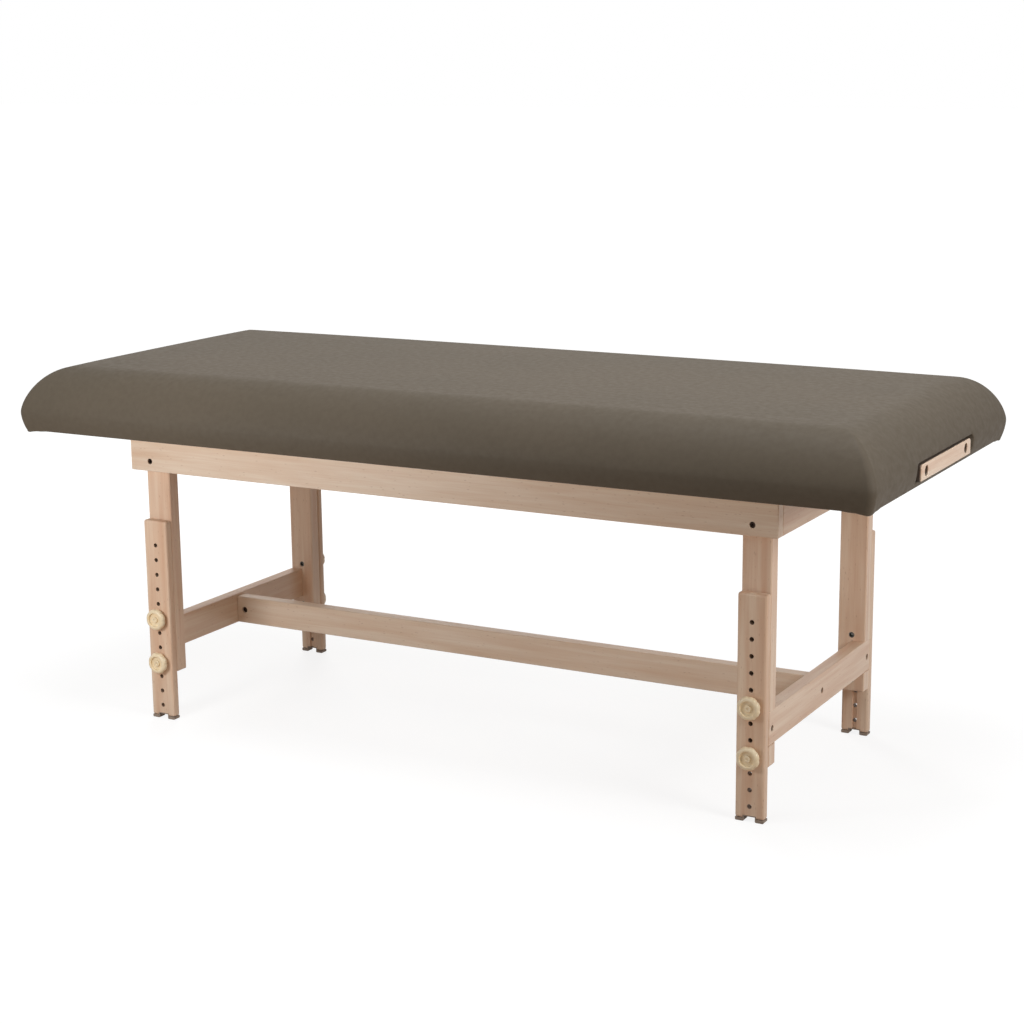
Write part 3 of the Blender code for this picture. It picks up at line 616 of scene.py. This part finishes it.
def round_the_pad(inset, radius):
    """Rings of plan points, one per inset: four corner arcs with the straight sides between them."""
    s, r = inset[:, None], radius[:, None]
    far_x, far_y = PAD_HALF_X - s - r, PAD_HALF_Y - s - r
    quarter = np.linspace(0, math.pi / 2, CORNER_STEPS + 1)[None, :]
    parts = []
    for k, (sx, sy) in enumerate(((1, 1), (-1, 1), (-1, -1), (1, -1))):
        turn = quarter + k * math.pi / 2
        parts.append(np.stack([sx * far_x + r * np.cos(turn), sy * far_y + r * np.sin(turn)], -1))
        way = -1 if k < 2 else 1
        if k % 2 == 0:
            line = way * ALONG[None, 1:-1]
            parts.append(np.stack([line * far_x, sy * (far_y + r) + 0 * line], -1))
        else:
            line = way * ACROSS[None, 1:-1]
            parts.append(np.stack([sx * (far_x + r) + 0 * line, line * far_y], -1))
    return np.concatenate(parts, 1)


ring_radius = PAD_CORNER * (1 - np.clip(inset / PAD_EDGE_IN, 0, 1) * (height > PAD_HEM))
plan = round_the_pad(inset, ring_radius)
lining_plan = round_the_pad(lining_in, np.full(len(lining_in), PAD_CORNER - VINYL_THICK))
print("pad rings:", plan.shape[0], "of", plan.shape[1], "points")

# %% [markdown]
# No pad is quite flat. The top is crowned and its corners droop a little. Under each corner the spare
# vinyl is folded into pleats, and their layers make the lower corner hang.

# %% Crown, pleats and gathers
PAD_CROWN, PAD_CORNER_DROP = 0.003, 0.004
PLEATS, PLEAT_DEPTH = 3, 0.0012
GATHER_DROP, GATHER_REACH, GATHER_UP = 0.006, 0.032, 0.030


def sink(plan, height):
    """How far the top lies below its middle: a crown, and a droop that only the corners feel."""
    u, v = np.abs(plan[..., 0]) / PAD_HALF_X, np.abs(plan[..., 1]) / PAD_HALF_Y
    share = np.clip((height - PAD_WIDEST_UP) / (PAD_HEIGHT - PAD_WIDEST_UP), 0, 1)
    return share * (PAD_CROWN * (1 - (1 - u**2) * (1 - v**2)) + PAD_CORNER_DROP * u**4 * v**4)


def pleats(plan, height):
    """Folds under each corner: a cosine of the angle about the corner, on the lip and hem alone."""
    dx = np.abs(plan[..., 0]) - (PAD_HALF_X - PAD_TUCK - PAD_LIP - PAD_CORNER)
    dy = np.abs(plan[..., 1]) - (PAD_HALF_Y - PAD_TUCK - PAD_LIP - PAD_CORNER)
    turn = np.arctan2(np.maximum(dy, 0), np.maximum(dx, 0))
    share = np.clip(1 - height / PAD_HEM, 0, 1) * np.clip(np.minimum(dx, dy) / PAD_CORNER, 0, 1)
    return PLEAT_DEPTH * share * (0.5 - 0.5 * np.cos(4 * PLEATS * turn))


def gather(plan, height):
    """Droop of the folded layers at each lower corner: a bell curve of the distance to the corner."""
    away = np.hypot(PAD_HALF_X - np.abs(plan[..., 0]), PAD_HALF_Y - np.abs(plan[..., 1]))
    low = np.clip(1 - height / GATHER_UP, 0, 1)
    return GATHER_DROP * np.exp(-((away / GATHER_REACH) ** 2)) * low**2


level_up = height[:, None] + 0 * plan[..., 0]
outside = np.dstack([plan, UNDERSIDE + level_up - sink(plan, level_up)])
outside[..., 2] -= pleats(plan, level_up) + gather(plan, level_up)
lining = np.dstack([lining_plan, UNDERSIDE + lining_up[:, None] + 0 * lining_plan[..., 0]])
deck_middle = np.tile((0, 0, UNDERSIDE + DECK_UP), (1, lining.shape[1], 1))
band = np.concatenate([deck_middle, lining, outside])
top_plan = np.dstack(
    np.meshgrid(ALONG * (PAD_HALF_X - PAD_EDGE_IN), ACROSS * (PAD_HALF_Y - PAD_EDGE_IN))
)
top = np.dstack([top_plan, UNDERSIDE + PAD_HEIGHT - sink(top_plan, PAD_HEIGHT)])
print("pad band:", band.shape[:2], "and a top of", top.shape[:2], "points")

# %% [markdown]
# The vinyl is under tension, and cloth simulation finds where it lies. The lip and hem are held, as
# by the staples, and a light pressure stands for the foam. The result is only trusted for a millimetre
# or two: beyond that, foam would hold the vinyl back, so the movement is capped. The cap falls to
# nothing at the rolled edge, where the vinyl is drawn hard over thin foam.

# %% Pad, settled as cloth
HELD_OVER_DECK = 0.001
SWELL_CAP, SWELL_FROM, SWELL_OVER, LEAST_SHARE = 0.0015, PAD_EDGE_IN / 2, 2 * PAD_EDGE_IN, 0.001
SETTLE_FRAMES, TINY = 20, 1e-9
CLOTH = {
    "quality": 4,
    "mass": 0.4,
    "tension_stiffness": 40,
    "compression_stiffness": 40,
    "shear_stiffness": 20,
    "bending_stiffness": 8,
    "use_pressure": True,
    "uniform_pressure_force": 4.0,
}


def read_vectors(items, field):
    """A vector of every item, as rows."""
    values = np.empty(len(items) * 3, np.float32)
    items.foreach_get(field, values)
    return values.reshape(-1, 3)


def smooth_step(share):
    """A share s, held between 0 and 1, as s * s * (3 - 2 * s)."""
    share = np.clip(share, 0, 1)
    return share**2 * (3 - 2 * share)


def held_points(points):
    """True below the deck's top, where the staples hold the vinyl."""
    return points[:, 2] < UNDERSIDE + DECK_UP + HELD_OVER_DECK


def swell_cap(points):
    """The most a point may move: a smooth step of its distance from the edge, up to the full cap."""
    inside = ((PAD_HALF_X, PAD_HALF_Y) - np.abs(points[:, :2])).min(1, keepdims=True)
    return SWELL_CAP * smooth_step(np.maximum((inside - SWELL_FROM) / SWELL_OVER, LEAST_SHARE))


def settle(piece, held, cap):
    """Blow the cover out as held cloth; keep no inward move, and ease each move off to its cap.

    A move of length far becomes cap * tanh(far / cap).
    """
    mesh = piece.data
    rest = read_vectors(mesh.vertices, "co")
    group = piece.vertex_groups.new(name="held")
    group.add(np.flatnonzero(held(rest)).tolist(), 1.0, "REPLACE")
    cloth = piece.modifiers.new("cover", "CLOTH")
    for key, value in CLOTH.items():
        setattr(cloth.settings, key, value)
    cloth.settings.vertex_group_mass = group.name
    cloth.settings.effector_weights.gravity = 0.0
    cloth.point_cache.frame_start, cloth.point_cache.frame_end = 1, SETTLE_FRAMES
    for step in range(1, SETTLE_FRAMES + 1):
        bpy.context.scene.frame_set(step)
    result = piece.evaluated_get(bpy.context.evaluated_depsgraph_get()).data
    move = read_vectors(result.vertices, "co") - rest
    outward = read_vectors(mesh.vertex_normals, "vector")
    move -= outward * np.minimum((move * outward).sum(1, keepdims=True), 0)
    piece.modifiers.remove(cloth)
    piece.vertex_groups.remove(group)
    bpy.context.scene.frame_set(1)
    far = np.linalg.norm(move, axis=1, keepdims=True)
    most = cap(rest)
    move *= most * np.tanh(far / most) / np.maximum(far, TINY)
    mesh.vertices.foreach_set("co", (rest + move).ravel())
    print("cover settled by up to", np.round(1000 * np.array([far.max(), np.abs(move).max()]), 1), "mm")


pad_grids = [
    (band.reshape(-1, 3), grid_faces(*band.shape[:2], wrap=True)),
    (top.reshape(-1, 3), grid_faces(*top.shape[:2])),
]
pad = make_piece("padded_top", pad_grids, VINYL, "frame", ("vinyl_cover", "foam_pad"), sharp=50)
settle(pad, held_points, swell_cap)
print("padded top:", len(pad.data.polygons), "faces")

# %% [markdown]
# The upholsterer tucks the vinyl at the head end into a slot round the wooden block. So it is pushed
# in there: the depth is a smooth step of the distance inside the slot's outline, with a small roll
# just outside it.

# %% Pad, tucked round the block
SLOT_CORNER, TUCK_BEHIND = 0.012, 0.006
TUCK_DEPTH = BLOCK_HIGH[0] - BLOCK_LOW[0] + TUCK_BEHIND
SLOT_WALL_OUT, SLOT_WALL = 0.0004, 0.0026
SLOT_ROLL, SLOT_ROLL_DEPTH = 0.006, 0.0016


def inside_slot(y, z):
    """Signed distance inside the slot's outline: a rectangle with round upper corners."""
    dy = np.abs(y) - SLOT_HALF + SLOT_CORNER
    dz = z - SLOT_TOP + SLOT_CORNER
    corner = np.hypot(np.maximum(dy, 0), np.maximum(dz, 0)) + np.minimum(np.maximum(dy, dz), 0)
    return np.minimum(SLOT_CORNER - corner, z - BLOCK_LOW[2])


def tuck_in(piece):
    """Move points of the outer skin in along X by a smooth step of their distance inside the slot."""
    points = read_vectors(piece.data.vertices, "co")
    within = inside_slot(points[:, 1], points[:, 2])
    roll = np.clip((within + SLOT_ROLL) / SLOT_ROLL, 0, 1)
    move = TUCK_DEPTH * smooth_step((within + SLOT_WALL_OUT) / SLOT_WALL) + SLOT_ROLL_DEPTH * roll**2
    skin_in = np.interp(points[:, 2] - UNDERSIDE, height[LIP_ROWS:], inset[LIP_ROWS:])
    skin = points[:, 0] > PAD_HALF_X - skin_in - VINYL_THICK / 2
    points[:, 0] -= np.where(skin, move, 0)
    piece.data.vertices.foreach_set("co", points.ravel())
    piece.data.update()
    print("points moved into the slot:", int(np.sum(skin & (move > 0))))


tuck_in(pad)

# %% [markdown]
# ## The staples
# Under the pad, a row of wire staples holds the vinyl to the deck. A staple is seen as a short bar
# whose ends dive into the vinyl, so a piece of wire along a flattened arch is enough. All of them are
# one array: the same small tube, added to every place along the lip in one step.

# %% Staples round the underside
STAPLE_LENGTH, STAPLE_WIRE, STAPLE_PITCH, STAPLE_IN = 0.010, 0.0006, 0.040, 0.028
STAPLE_CLIMB, STAPLE_PROUD, STAPLE_SIDES = 2.4, 0.3, 6


def staple_places():
    """Middles and directions of the staples along the four sides, at an even pitch."""
    half = np.array([PAD_HALF_X, PAD_HALF_Y]) - STAPLE_IN
    middles, ways = [], []
    for axis in (0, 1):
        count = int(2 * (half[axis] - STAPLE_IN) / STAPLE_PITCH)
        run = (np.arange(count) - (count - 1) / 2) * STAPLE_PITCH
        for side in (-1, 1):
            place = np.zeros((count, 3))
            place[:, axis], place[:, 1 - axis], place[:, 2] = run, side * half[1 - axis], UNDERSIDE
            middles.append(place)
            ways.append(np.tile(np.eye(3)[axis], (count, 1)))
    return np.concatenate(middles), np.concatenate(ways)


def staple_tube(middles, ways):
    """Wire along an arch that climbs by the eighth power of the place: one closed tube per place."""
    along = np.array([-1, -1, -0.9, -0.7, 0.7, 0.9, 1, 1])
    around = np.linspace(0, 2 * math.pi, STAPLE_SIDES, endpoint=False)
    thick = STAPLE_WIRE * np.array([0, 1, 1, 1, 1, 1, 1, 0])[:, None]
    climb = STAPLE_WIRE * (STAPLE_CLIMB * along**8 - STAPLE_PROUD)
    length = STAPLE_LENGTH / 2 * along[:, None] + 0 * around
    side = thick * np.cos(around)
    rise = climb[:, None] + thick * np.sin(around)
    across = np.cross(ways, (0, 0, 1))
    points = (
        middles[:, None, None]
        + length[..., None] * ways[:, None, None]
        + side[..., None] * across[:, None, None]
        + rise[..., None] * np.array((0, 0, 1))
    )
    faces = grid_faces(len(along), len(around), wrap=True)
    shift = np.arange(len(middles))[:, None, None] * len(along) * len(around)
    return points.reshape(-1, 3), (faces[None] + shift).reshape(-1, 4)


middles, ways = staple_places()
make_piece("cover_staples", [staple_tube(middles, ways)], ZINC, "frame", sharp=60)
print("staples:", len(middles))

# %% [markdown]
# ## The face-cradle block
# The wooden block at the head end takes the two rods of a face cradle. It is a short bar with round
# upper corners, eased edges and two round sockets. The outside is one profile carried round the
# outline. Each half of the face is a fan of straight lines from the socket's rim to the outline, and
# the fan goes on down the socket's wall to a closed bottom.

# %% Block with two sockets
BLOCK_CORNER, BLOCK_EASE = 0.008, 0.0012
SOCKET_RADIUS, SOCKET_DEPTH, SOCKET_SPACING = 0.00975, 0.055, 0.236
BLOCK_MID_Z = (BLOCK_LOW[2] + BLOCK_HIGH[2]) / 2
LONG_STEPS, SHORT_STEPS, EASE_POINTS, CORNER_POINTS = 80, 10, 5, 13


def half_outline(inset):
    """Right half of the block's end, from its bottom middle round the corners to its top middle."""
    far, low, high = BLOCK_HIGH[1] - inset, BLOCK_LOW[2] + inset, BLOCK_HIGH[2] - inset
    ease, corner = BLOCK_EASE - inset / 2, BLOCK_CORNER - inset
    run = np.linspace(0, 1, LONG_STEPS + 1)[:, None]
    rise = np.linspace(low + ease, high - corner, SHORT_STEPS + 1)[1:-1]
    return np.concatenate(
        [
            (0, low) + run[:-1] * (far - ease, 0),
            arc((far - ease, low + ease), (ease, ease), -90, 0, EASE_POINTS),
            np.stack([np.full(len(rise), far), rise], -1),
            arc((far - corner, high - corner), (corner, corner), 0, 90, CORNER_POINTS),
            (far - corner, high) - run[1:] * (far - corner, 0),
        ]
    )


def block_grids():
    """The outside as rings, and each half of the face as a fan round its socket."""
    ease = np.radians(np.linspace(0, 90, EASE_POINTS))
    insets = [0.0, *(BLOCK_EASE * (1 - np.cos(ease)))]
    depths = [BLOCK_LOW[0], *(BLOCK_HIGH[0] - BLOCK_EASE * (1 - np.sin(ease)))]
    rings = []
    for inset, x in zip(insets, depths):
        half = half_outline(inset)
        ring = np.concatenate([half, half[-2:0:-1] * (-1, 1)])
        rings.append(np.column_stack([np.full(len(ring), x), ring]))
    back = np.tile((BLOCK_LOW[0], 0, BLOCK_MID_Z), (len(ring), 1))
    outside = np.stack([back, *rings])
    grids = [(outside.reshape(-1, 3), grid_faces(*outside.shape[:2], wrap=True))]

    rim = half_outline(BLOCK_EASE)
    drop = np.linspace(rim[-1, 1], rim[0, 1], SHORT_STEPS + 1)[1:-1]
    edge = np.concatenate([rim, np.column_stack([np.zeros(len(drop)), drop])])
    centre = np.array([SOCKET_SPACING / 2, BLOCK_MID_Z])
    turn = np.arctan2(*(edge - centre).T[::-1])
    circle = np.stack([np.cos(turn), np.sin(turn)], -1)
    mouth = SOCKET_RADIUS + BLOCK_EASE / 2
    rows = [
        (edge, 0),
        (centre + mouth * circle, 0),
        (centre + SOCKET_RADIUS * circle, BLOCK_EASE / 2),
        (centre + SOCKET_RADIUS * circle, SOCKET_DEPTH),
        (centre + 0 * circle, SOCKET_DEPTH),
    ]
    fan = np.stack([np.column_stack([np.full(len(r), BLOCK_HIGH[0] - d), r]) for r, d in rows])
    faces = grid_faces(*fan.shape[:2], wrap=True)
    return grids + [((fan * (1, side, 1)).reshape(-1, 3), faces) for side in (1, -1)]


print("half an outline of the block has", len(half_outline(0.0)), "points")

# %% [markdown]
# The block's face is lacquered. Behind it, in the slot and in the sockets, the wood is painted nearly black
# as painted shade.

# %% Finish of the block, with painted shade behind its face
# How wide the step into the painted shade is, and how dark the painted shade gets.
SLOT_BLUR, SLOT_SHADE_STRENGTH = 0.0025, 0.93


def slot_painted_shade(tree, place):
    """Painted shade behind the block's face: a straight step of the distance behind it."""
    x = add_node(tree, "ShaderNodeSeparateXYZ", {"Vector": place}).outputs["X"]
    face = BLOCK_HIGH[0] - BLOCK_EASE
    edge = {"Value": x, "From Min": face - SLOT_BLUR, "From Max": face, "To Min": SLOT_SHADE_STRENGTH, "To Max": 0.0}
    return add_node(tree, "ShaderNodeMapRange", edge).outputs[0]


# The block's beech, painted nearly black behind its face as painted shade.
BLOCK_WOOD_WITH_PAINTED_SHADE = make_wood("lacquered_beech_of_block_with_painted_shade", "Y", *BEECH_TONES, painted_shade=slot_painted_shade)
make_piece("face_cradle_block", block_grids(), BLOCK_WOOD_WITH_PAINTED_SHADE, "frame", ("cradle_block",), sharp=35)
print("cradle block with two sockets of", round(2000 * SOCKET_RADIUS, 1), "mm")

# %% [markdown]
# ## The knobs
# Each knob is a moulded disc on a short hub. Its rim is fluted for grip, its front is dished, and a
# small boss in the middle covers the stud. All of that is one profile turned about the stud's axis,
# with the rim's radius pulled in a little by a cosine of the angle.

# %% Eight knobs
OUTWARD = {"front": -1, "rear": 1}
CLAMPS = [
    (f"{side}_{end}_{row}", way)
    for side, way in OUTWARD.items()
    for end in ("left", "right")
    for row in ("lower", "upper")
]
KNOB_RADIUS, KNOB_DEPTH, KNOB_RIM, KNOB_SEAT = 0.02275, 0.017, 0.0060, 0.0001
KNOB_HUB, KNOB_HUB_LENGTH, HUB_EASE, HUB_FILLET = 0.012, 0.004, 0.0006, 0.001
KNOB_DISH, KNOB_DISH_DEPTH, DISH_LIP, DISH_LIP_DEPTH, DISH_FILLET = 0.0158, 0.0050, 0.0012, 0.0008, 0.0012
KNOB_BOSS, BOSS_FILLET, BOSS_ROUND = 0.0065, 0.001, 0.0012
BOSS_PIT, BOSS_PIT_DEPTH, PIT_EASE = 0.0022, 0.0015, 0.0004
FLUTES, FLUTE_DEPTH, KNOB_COLUMNS = 8, 0.0012, 96


def knob_profile():
    """Radius and distance from the wood: hub, back of the disc, round rim, dish and boss."""
    mid, tall = (KNOB_DEPTH + KNOB_HUB_LENGTH) / 2, (KNOB_DEPTH - KNOB_HUB_LENGTH) / 2
    floor = KNOB_DEPTH - KNOB_DISH_DEPTH
    top = KNOB_DEPTH - KNOB_DISH_DEPTH / 4
    hub = KNOB_HUB - HUB_EASE
    foot = KNOB_DISH - DISH_LIP - DISH_FILLET
    return np.concatenate(
        [
            [(0, KNOB_SEAT), (hub, KNOB_SEAT)],
            arc((hub, KNOB_SEAT + HUB_EASE), (HUB_EASE, HUB_EASE), -90, 0, 4)[1:],
            arc((KNOB_HUB + HUB_FILLET, KNOB_HUB_LENGTH - HUB_FILLET), (-HUB_FILLET, HUB_FILLET), 0, 90, 4),
            arc((KNOB_RADIUS - KNOB_RIM, mid), (KNOB_RIM, tall), -90, 90, 17),
            arc((KNOB_DISH, KNOB_DEPTH - DISH_LIP_DEPTH), (DISH_LIP, DISH_LIP_DEPTH), 90, 180, 5),
            arc((foot, floor + DISH_FILLET), (DISH_FILLET, -DISH_FILLET), 0, 90, 5),
            arc((KNOB_BOSS + BOSS_FILLET, floor + BOSS_FILLET), (-BOSS_FILLET, -BOSS_FILLET), 90, 0, 4),
            arc((KNOB_BOSS - BOSS_ROUND, top - BOSS_ROUND), (BOSS_ROUND, BOSS_ROUND), 0, 90, 5),
            arc((BOSS_PIT + PIT_EASE, top - PIT_EASE), (-PIT_EASE, PIT_EASE), 90, 0, 3),
            [(BOSS_PIT, top - BOSS_PIT_DEPTH), (0, top - BOSS_PIT_DEPTH)],
        ]
    )


def fluted(radius, distance, turn):
    """The radius, less the fourth power of a raised cosine of the angle, fading in towards the rim."""
    share = np.clip((radius - KNOB_DISH) / (KNOB_RADIUS - KNOB_DISH), 0, 1) ** 2
    return radius - share * FLUTE_DEPTH * (0.5 + 0.5 * np.cos(FLUTES * turn)) ** 4


def inner_end(node, way):
    """The middle of the end of a node that faces into the table, and the node's length along Y."""
    low, high = (np.array(corner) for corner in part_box(node))
    end = (low + high) / 2
    end[1] = low[1] if way > 0 else high[1]
    return end, high[1] - low[1]


for clamp, way in CLAMPS:
    node = f"knob_{clamp}"
    base, _ = inner_end(node, way)
    grid = turned(knob_profile(), base, (0, way, 0), KNOB_COLUMNS, fluted)
    make_piece(f"clamp_{node}", [grid], NYLON, node, (node,), sharp=60)
print("knobs:", len(CLAMPS))

# %% [markdown]
# ## The threaded studs
# A thread is a groove that climbs one lead in each turn. Its radius depends only on the phase,
# distance over lead minus angle over a full turn, so the whole thread is again a turned surface whose
# radius is a triangle wave of that phase.

# %% Eight studs
STUD_RADIUS, STUD_LEAD, THREAD_DEPTH, STUD_CHAMFER = 0.00395, 0.0254 / 18, 0.0008, 0.0012
ROWS_PER_TURN, STUD_COLUMNS = 8, 24


def threaded(radius, distance, turn):
    """The radius, cut by a triangle wave of distance / lead - angle / turn, fading at the tip."""
    phase = (distance / STUD_LEAD - turn / (2 * math.pi)) % 1
    return radius - THREAD_DEPTH * np.abs(2 * phase - 1) * (radius / STUD_RADIUS)


for clamp, way in CLAMPS:
    node = f"stud_{clamp}"
    base, length = inner_end(node, way)
    along = np.arange(STUD_CHAMFER, length, STUD_LEAD / ROWS_PER_TURN)
    shank = np.stack([np.full(len(along), STUD_RADIUS), along], -1)
    tip, root = [(0, 0), (STUD_RADIUS - STUD_CHAMFER, 0)], [(STUD_RADIUS, length), (0, length)]
    profile = np.concatenate([tip, shank, root])
    grid = turned(profile, base, (0, way, 0), STUD_COLUMNS, threaded)
    make_piece(f"threaded_{node}", [grid], ZINC, node, (node,), sharp=60)
print("studs with", round(length / STUD_LEAD), "turns each")

# %% [markdown]
# ## The studio
# A pale floor and an even white surround, as for a catalogue picture. To the camera the floor is
# nearly white by itself, and the rest of its brightness is reflected light, so that the table's soft
# shadow still shows. A plain white floor would be simpler, but its light would wash out the table's
# underside, so to other surfaces the floor is a dull brown.

# %% Floor and world
SURROUND = 0.20
WHITE, FLOOR_BOUNCE, FLOOR_SHADE = (colour(code) for code in ("#FFFFFF", "#A8927E", "#818181"))
FLOOR_REACH = 40.0
FLOOR_GLOW = {"From Min": 1.0, "From Max": 3.5, "To Min": 0.84, "To Max": 0.98}


def seen_directly(tree):
    """One where a ray comes from the camera, a mirror or glass, and nought elsewhere."""
    path = add_node(tree, "ShaderNodeLightPath").outputs
    seen = path["Is Camera Ray"]
    for kind in ("Is Glossy Ray", "Is Transmission Ray"):
        seen = add_node(tree, "ShaderNodeMath", {0: seen, 1: path[kind]}, operation="MAXIMUM").outputs[0]
    return seen


def make_floor():
    """A wide plane: plain and matt to other surfaces, and with its own glow to the camera.

    The glow rises with the distance from the middle, so that the far floor meets the white surround.
    """
    finish, tree, place = new_finish("pale_floor")
    matt = add_node(tree, "ShaderNodeBsdfDiffuse", {"Color": FLOOR_BOUNCE})
    shade = add_node(tree, "ShaderNodeBsdfDiffuse", {"Color": FLOOR_SHADE})
    away = add_node(tree, "ShaderNodeVectorMath", {0: place}, operation="LENGTH").outputs["Value"]
    level = add_node(tree, "ShaderNodeMapRange", {"Value": away, **FLOOR_GLOW}).outputs[0]
    glow = add_node(tree, "ShaderNodeEmission", {"Color": WHITE, "Strength": level})
    pale = add_node(tree, "ShaderNodeAddShader", {0: shade.outputs[0], 1: glow.outputs[0]})
    both = add_node(
        tree, "ShaderNodeMixShader", {0: seen_directly(tree), 1: matt.outputs[0], 2: pale.outputs[0]}
    )
    add_node(tree, "ShaderNodeOutputMaterial", {"Surface": both.outputs[0]})
    mesh = bpy.data.meshes.new("floor")
    corners = [(FLOOR_REACH * x, FLOOR_REACH * y, 0) for x, y in ((-1, -1), (1, -1), (1, 1), (-1, 1))]
    mesh.from_pydata(corners, [], [(0, 1, 2, 3)])
    mesh.materials.append(finish)
    floor = bpy.data.objects.new("floor", mesh)
    bpy.context.scene.collection.objects.link(floor)


def make_world():
    """White to the camera and to reflections, and a lower even light on everything else."""
    world = bpy.data.worlds.new("surround")
    bpy.context.scene.world = world
    world.use_nodes = True
    tree = world.node_tree
    tree.nodes.clear()
    strength = add_node(tree, "ShaderNodeMapRange", {"Value": seen_directly(tree), "To Min": SURROUND})
    light = add_node(tree, "ShaderNodeBackground", {"Color": WHITE, "Strength": strength.outputs[0]})
    add_node(tree, "ShaderNodeOutputWorld", {"Surface": light.outputs[0]})


make_floor()
make_world()
print("floor reaches", FLOOR_REACH, "m, and the surround lights the table at", SURROUND)

# %% [markdown]
# A large soft lamp hangs over the table and one stands at the head end. A small one fills the front
# from the left, and a soft one fills the far side, for views from behind. Seen from the front, that
# one would mirror in the pad, so it is kept out of reflections.

# %% Lamps
def make_lamp(name, place, aim, size, watts, glare=True):
    """A square soft lamp at a place, turned to face a point; without glare it isn't mirrored."""
    data = bpy.data.lights.new(name, "AREA")
    data.shape = "SQUARE"
    data.size = size
    data.energy = watts
    lamp = bpy.data.objects.new(name, data)
    bpy.context.scene.collection.objects.link(lamp)
    lamp.visible_glossy = glare
    lamp.location = place
    lamp.rotation_euler = (Vector(aim) - Vector(place)).to_track_quat("-Z", "Y").to_euler()


make_lamp("overhead_lamp", (0.3, -0.3, 3.4), (0.1, 0.0, 0.7), 2.0, 62)
make_lamp("front_lamp", (-0.75, -1.45, 0.7), (-0.55, -0.25, 0.45), 0.4, 8)
make_lamp("end_lamp", (3.3, -0.8, 1.6), (0.9, 0.0, 0.5), 1.0, 42)
make_lamp("rear_lamp", (-2.2, 2.6, 1.6), (-0.2, 0.2, 0.5), 1.2, 44, glare=False)
bpy.context.scene.view_settings.view_transform = "Standard"
print("lamps:", len(bpy.data.lights))
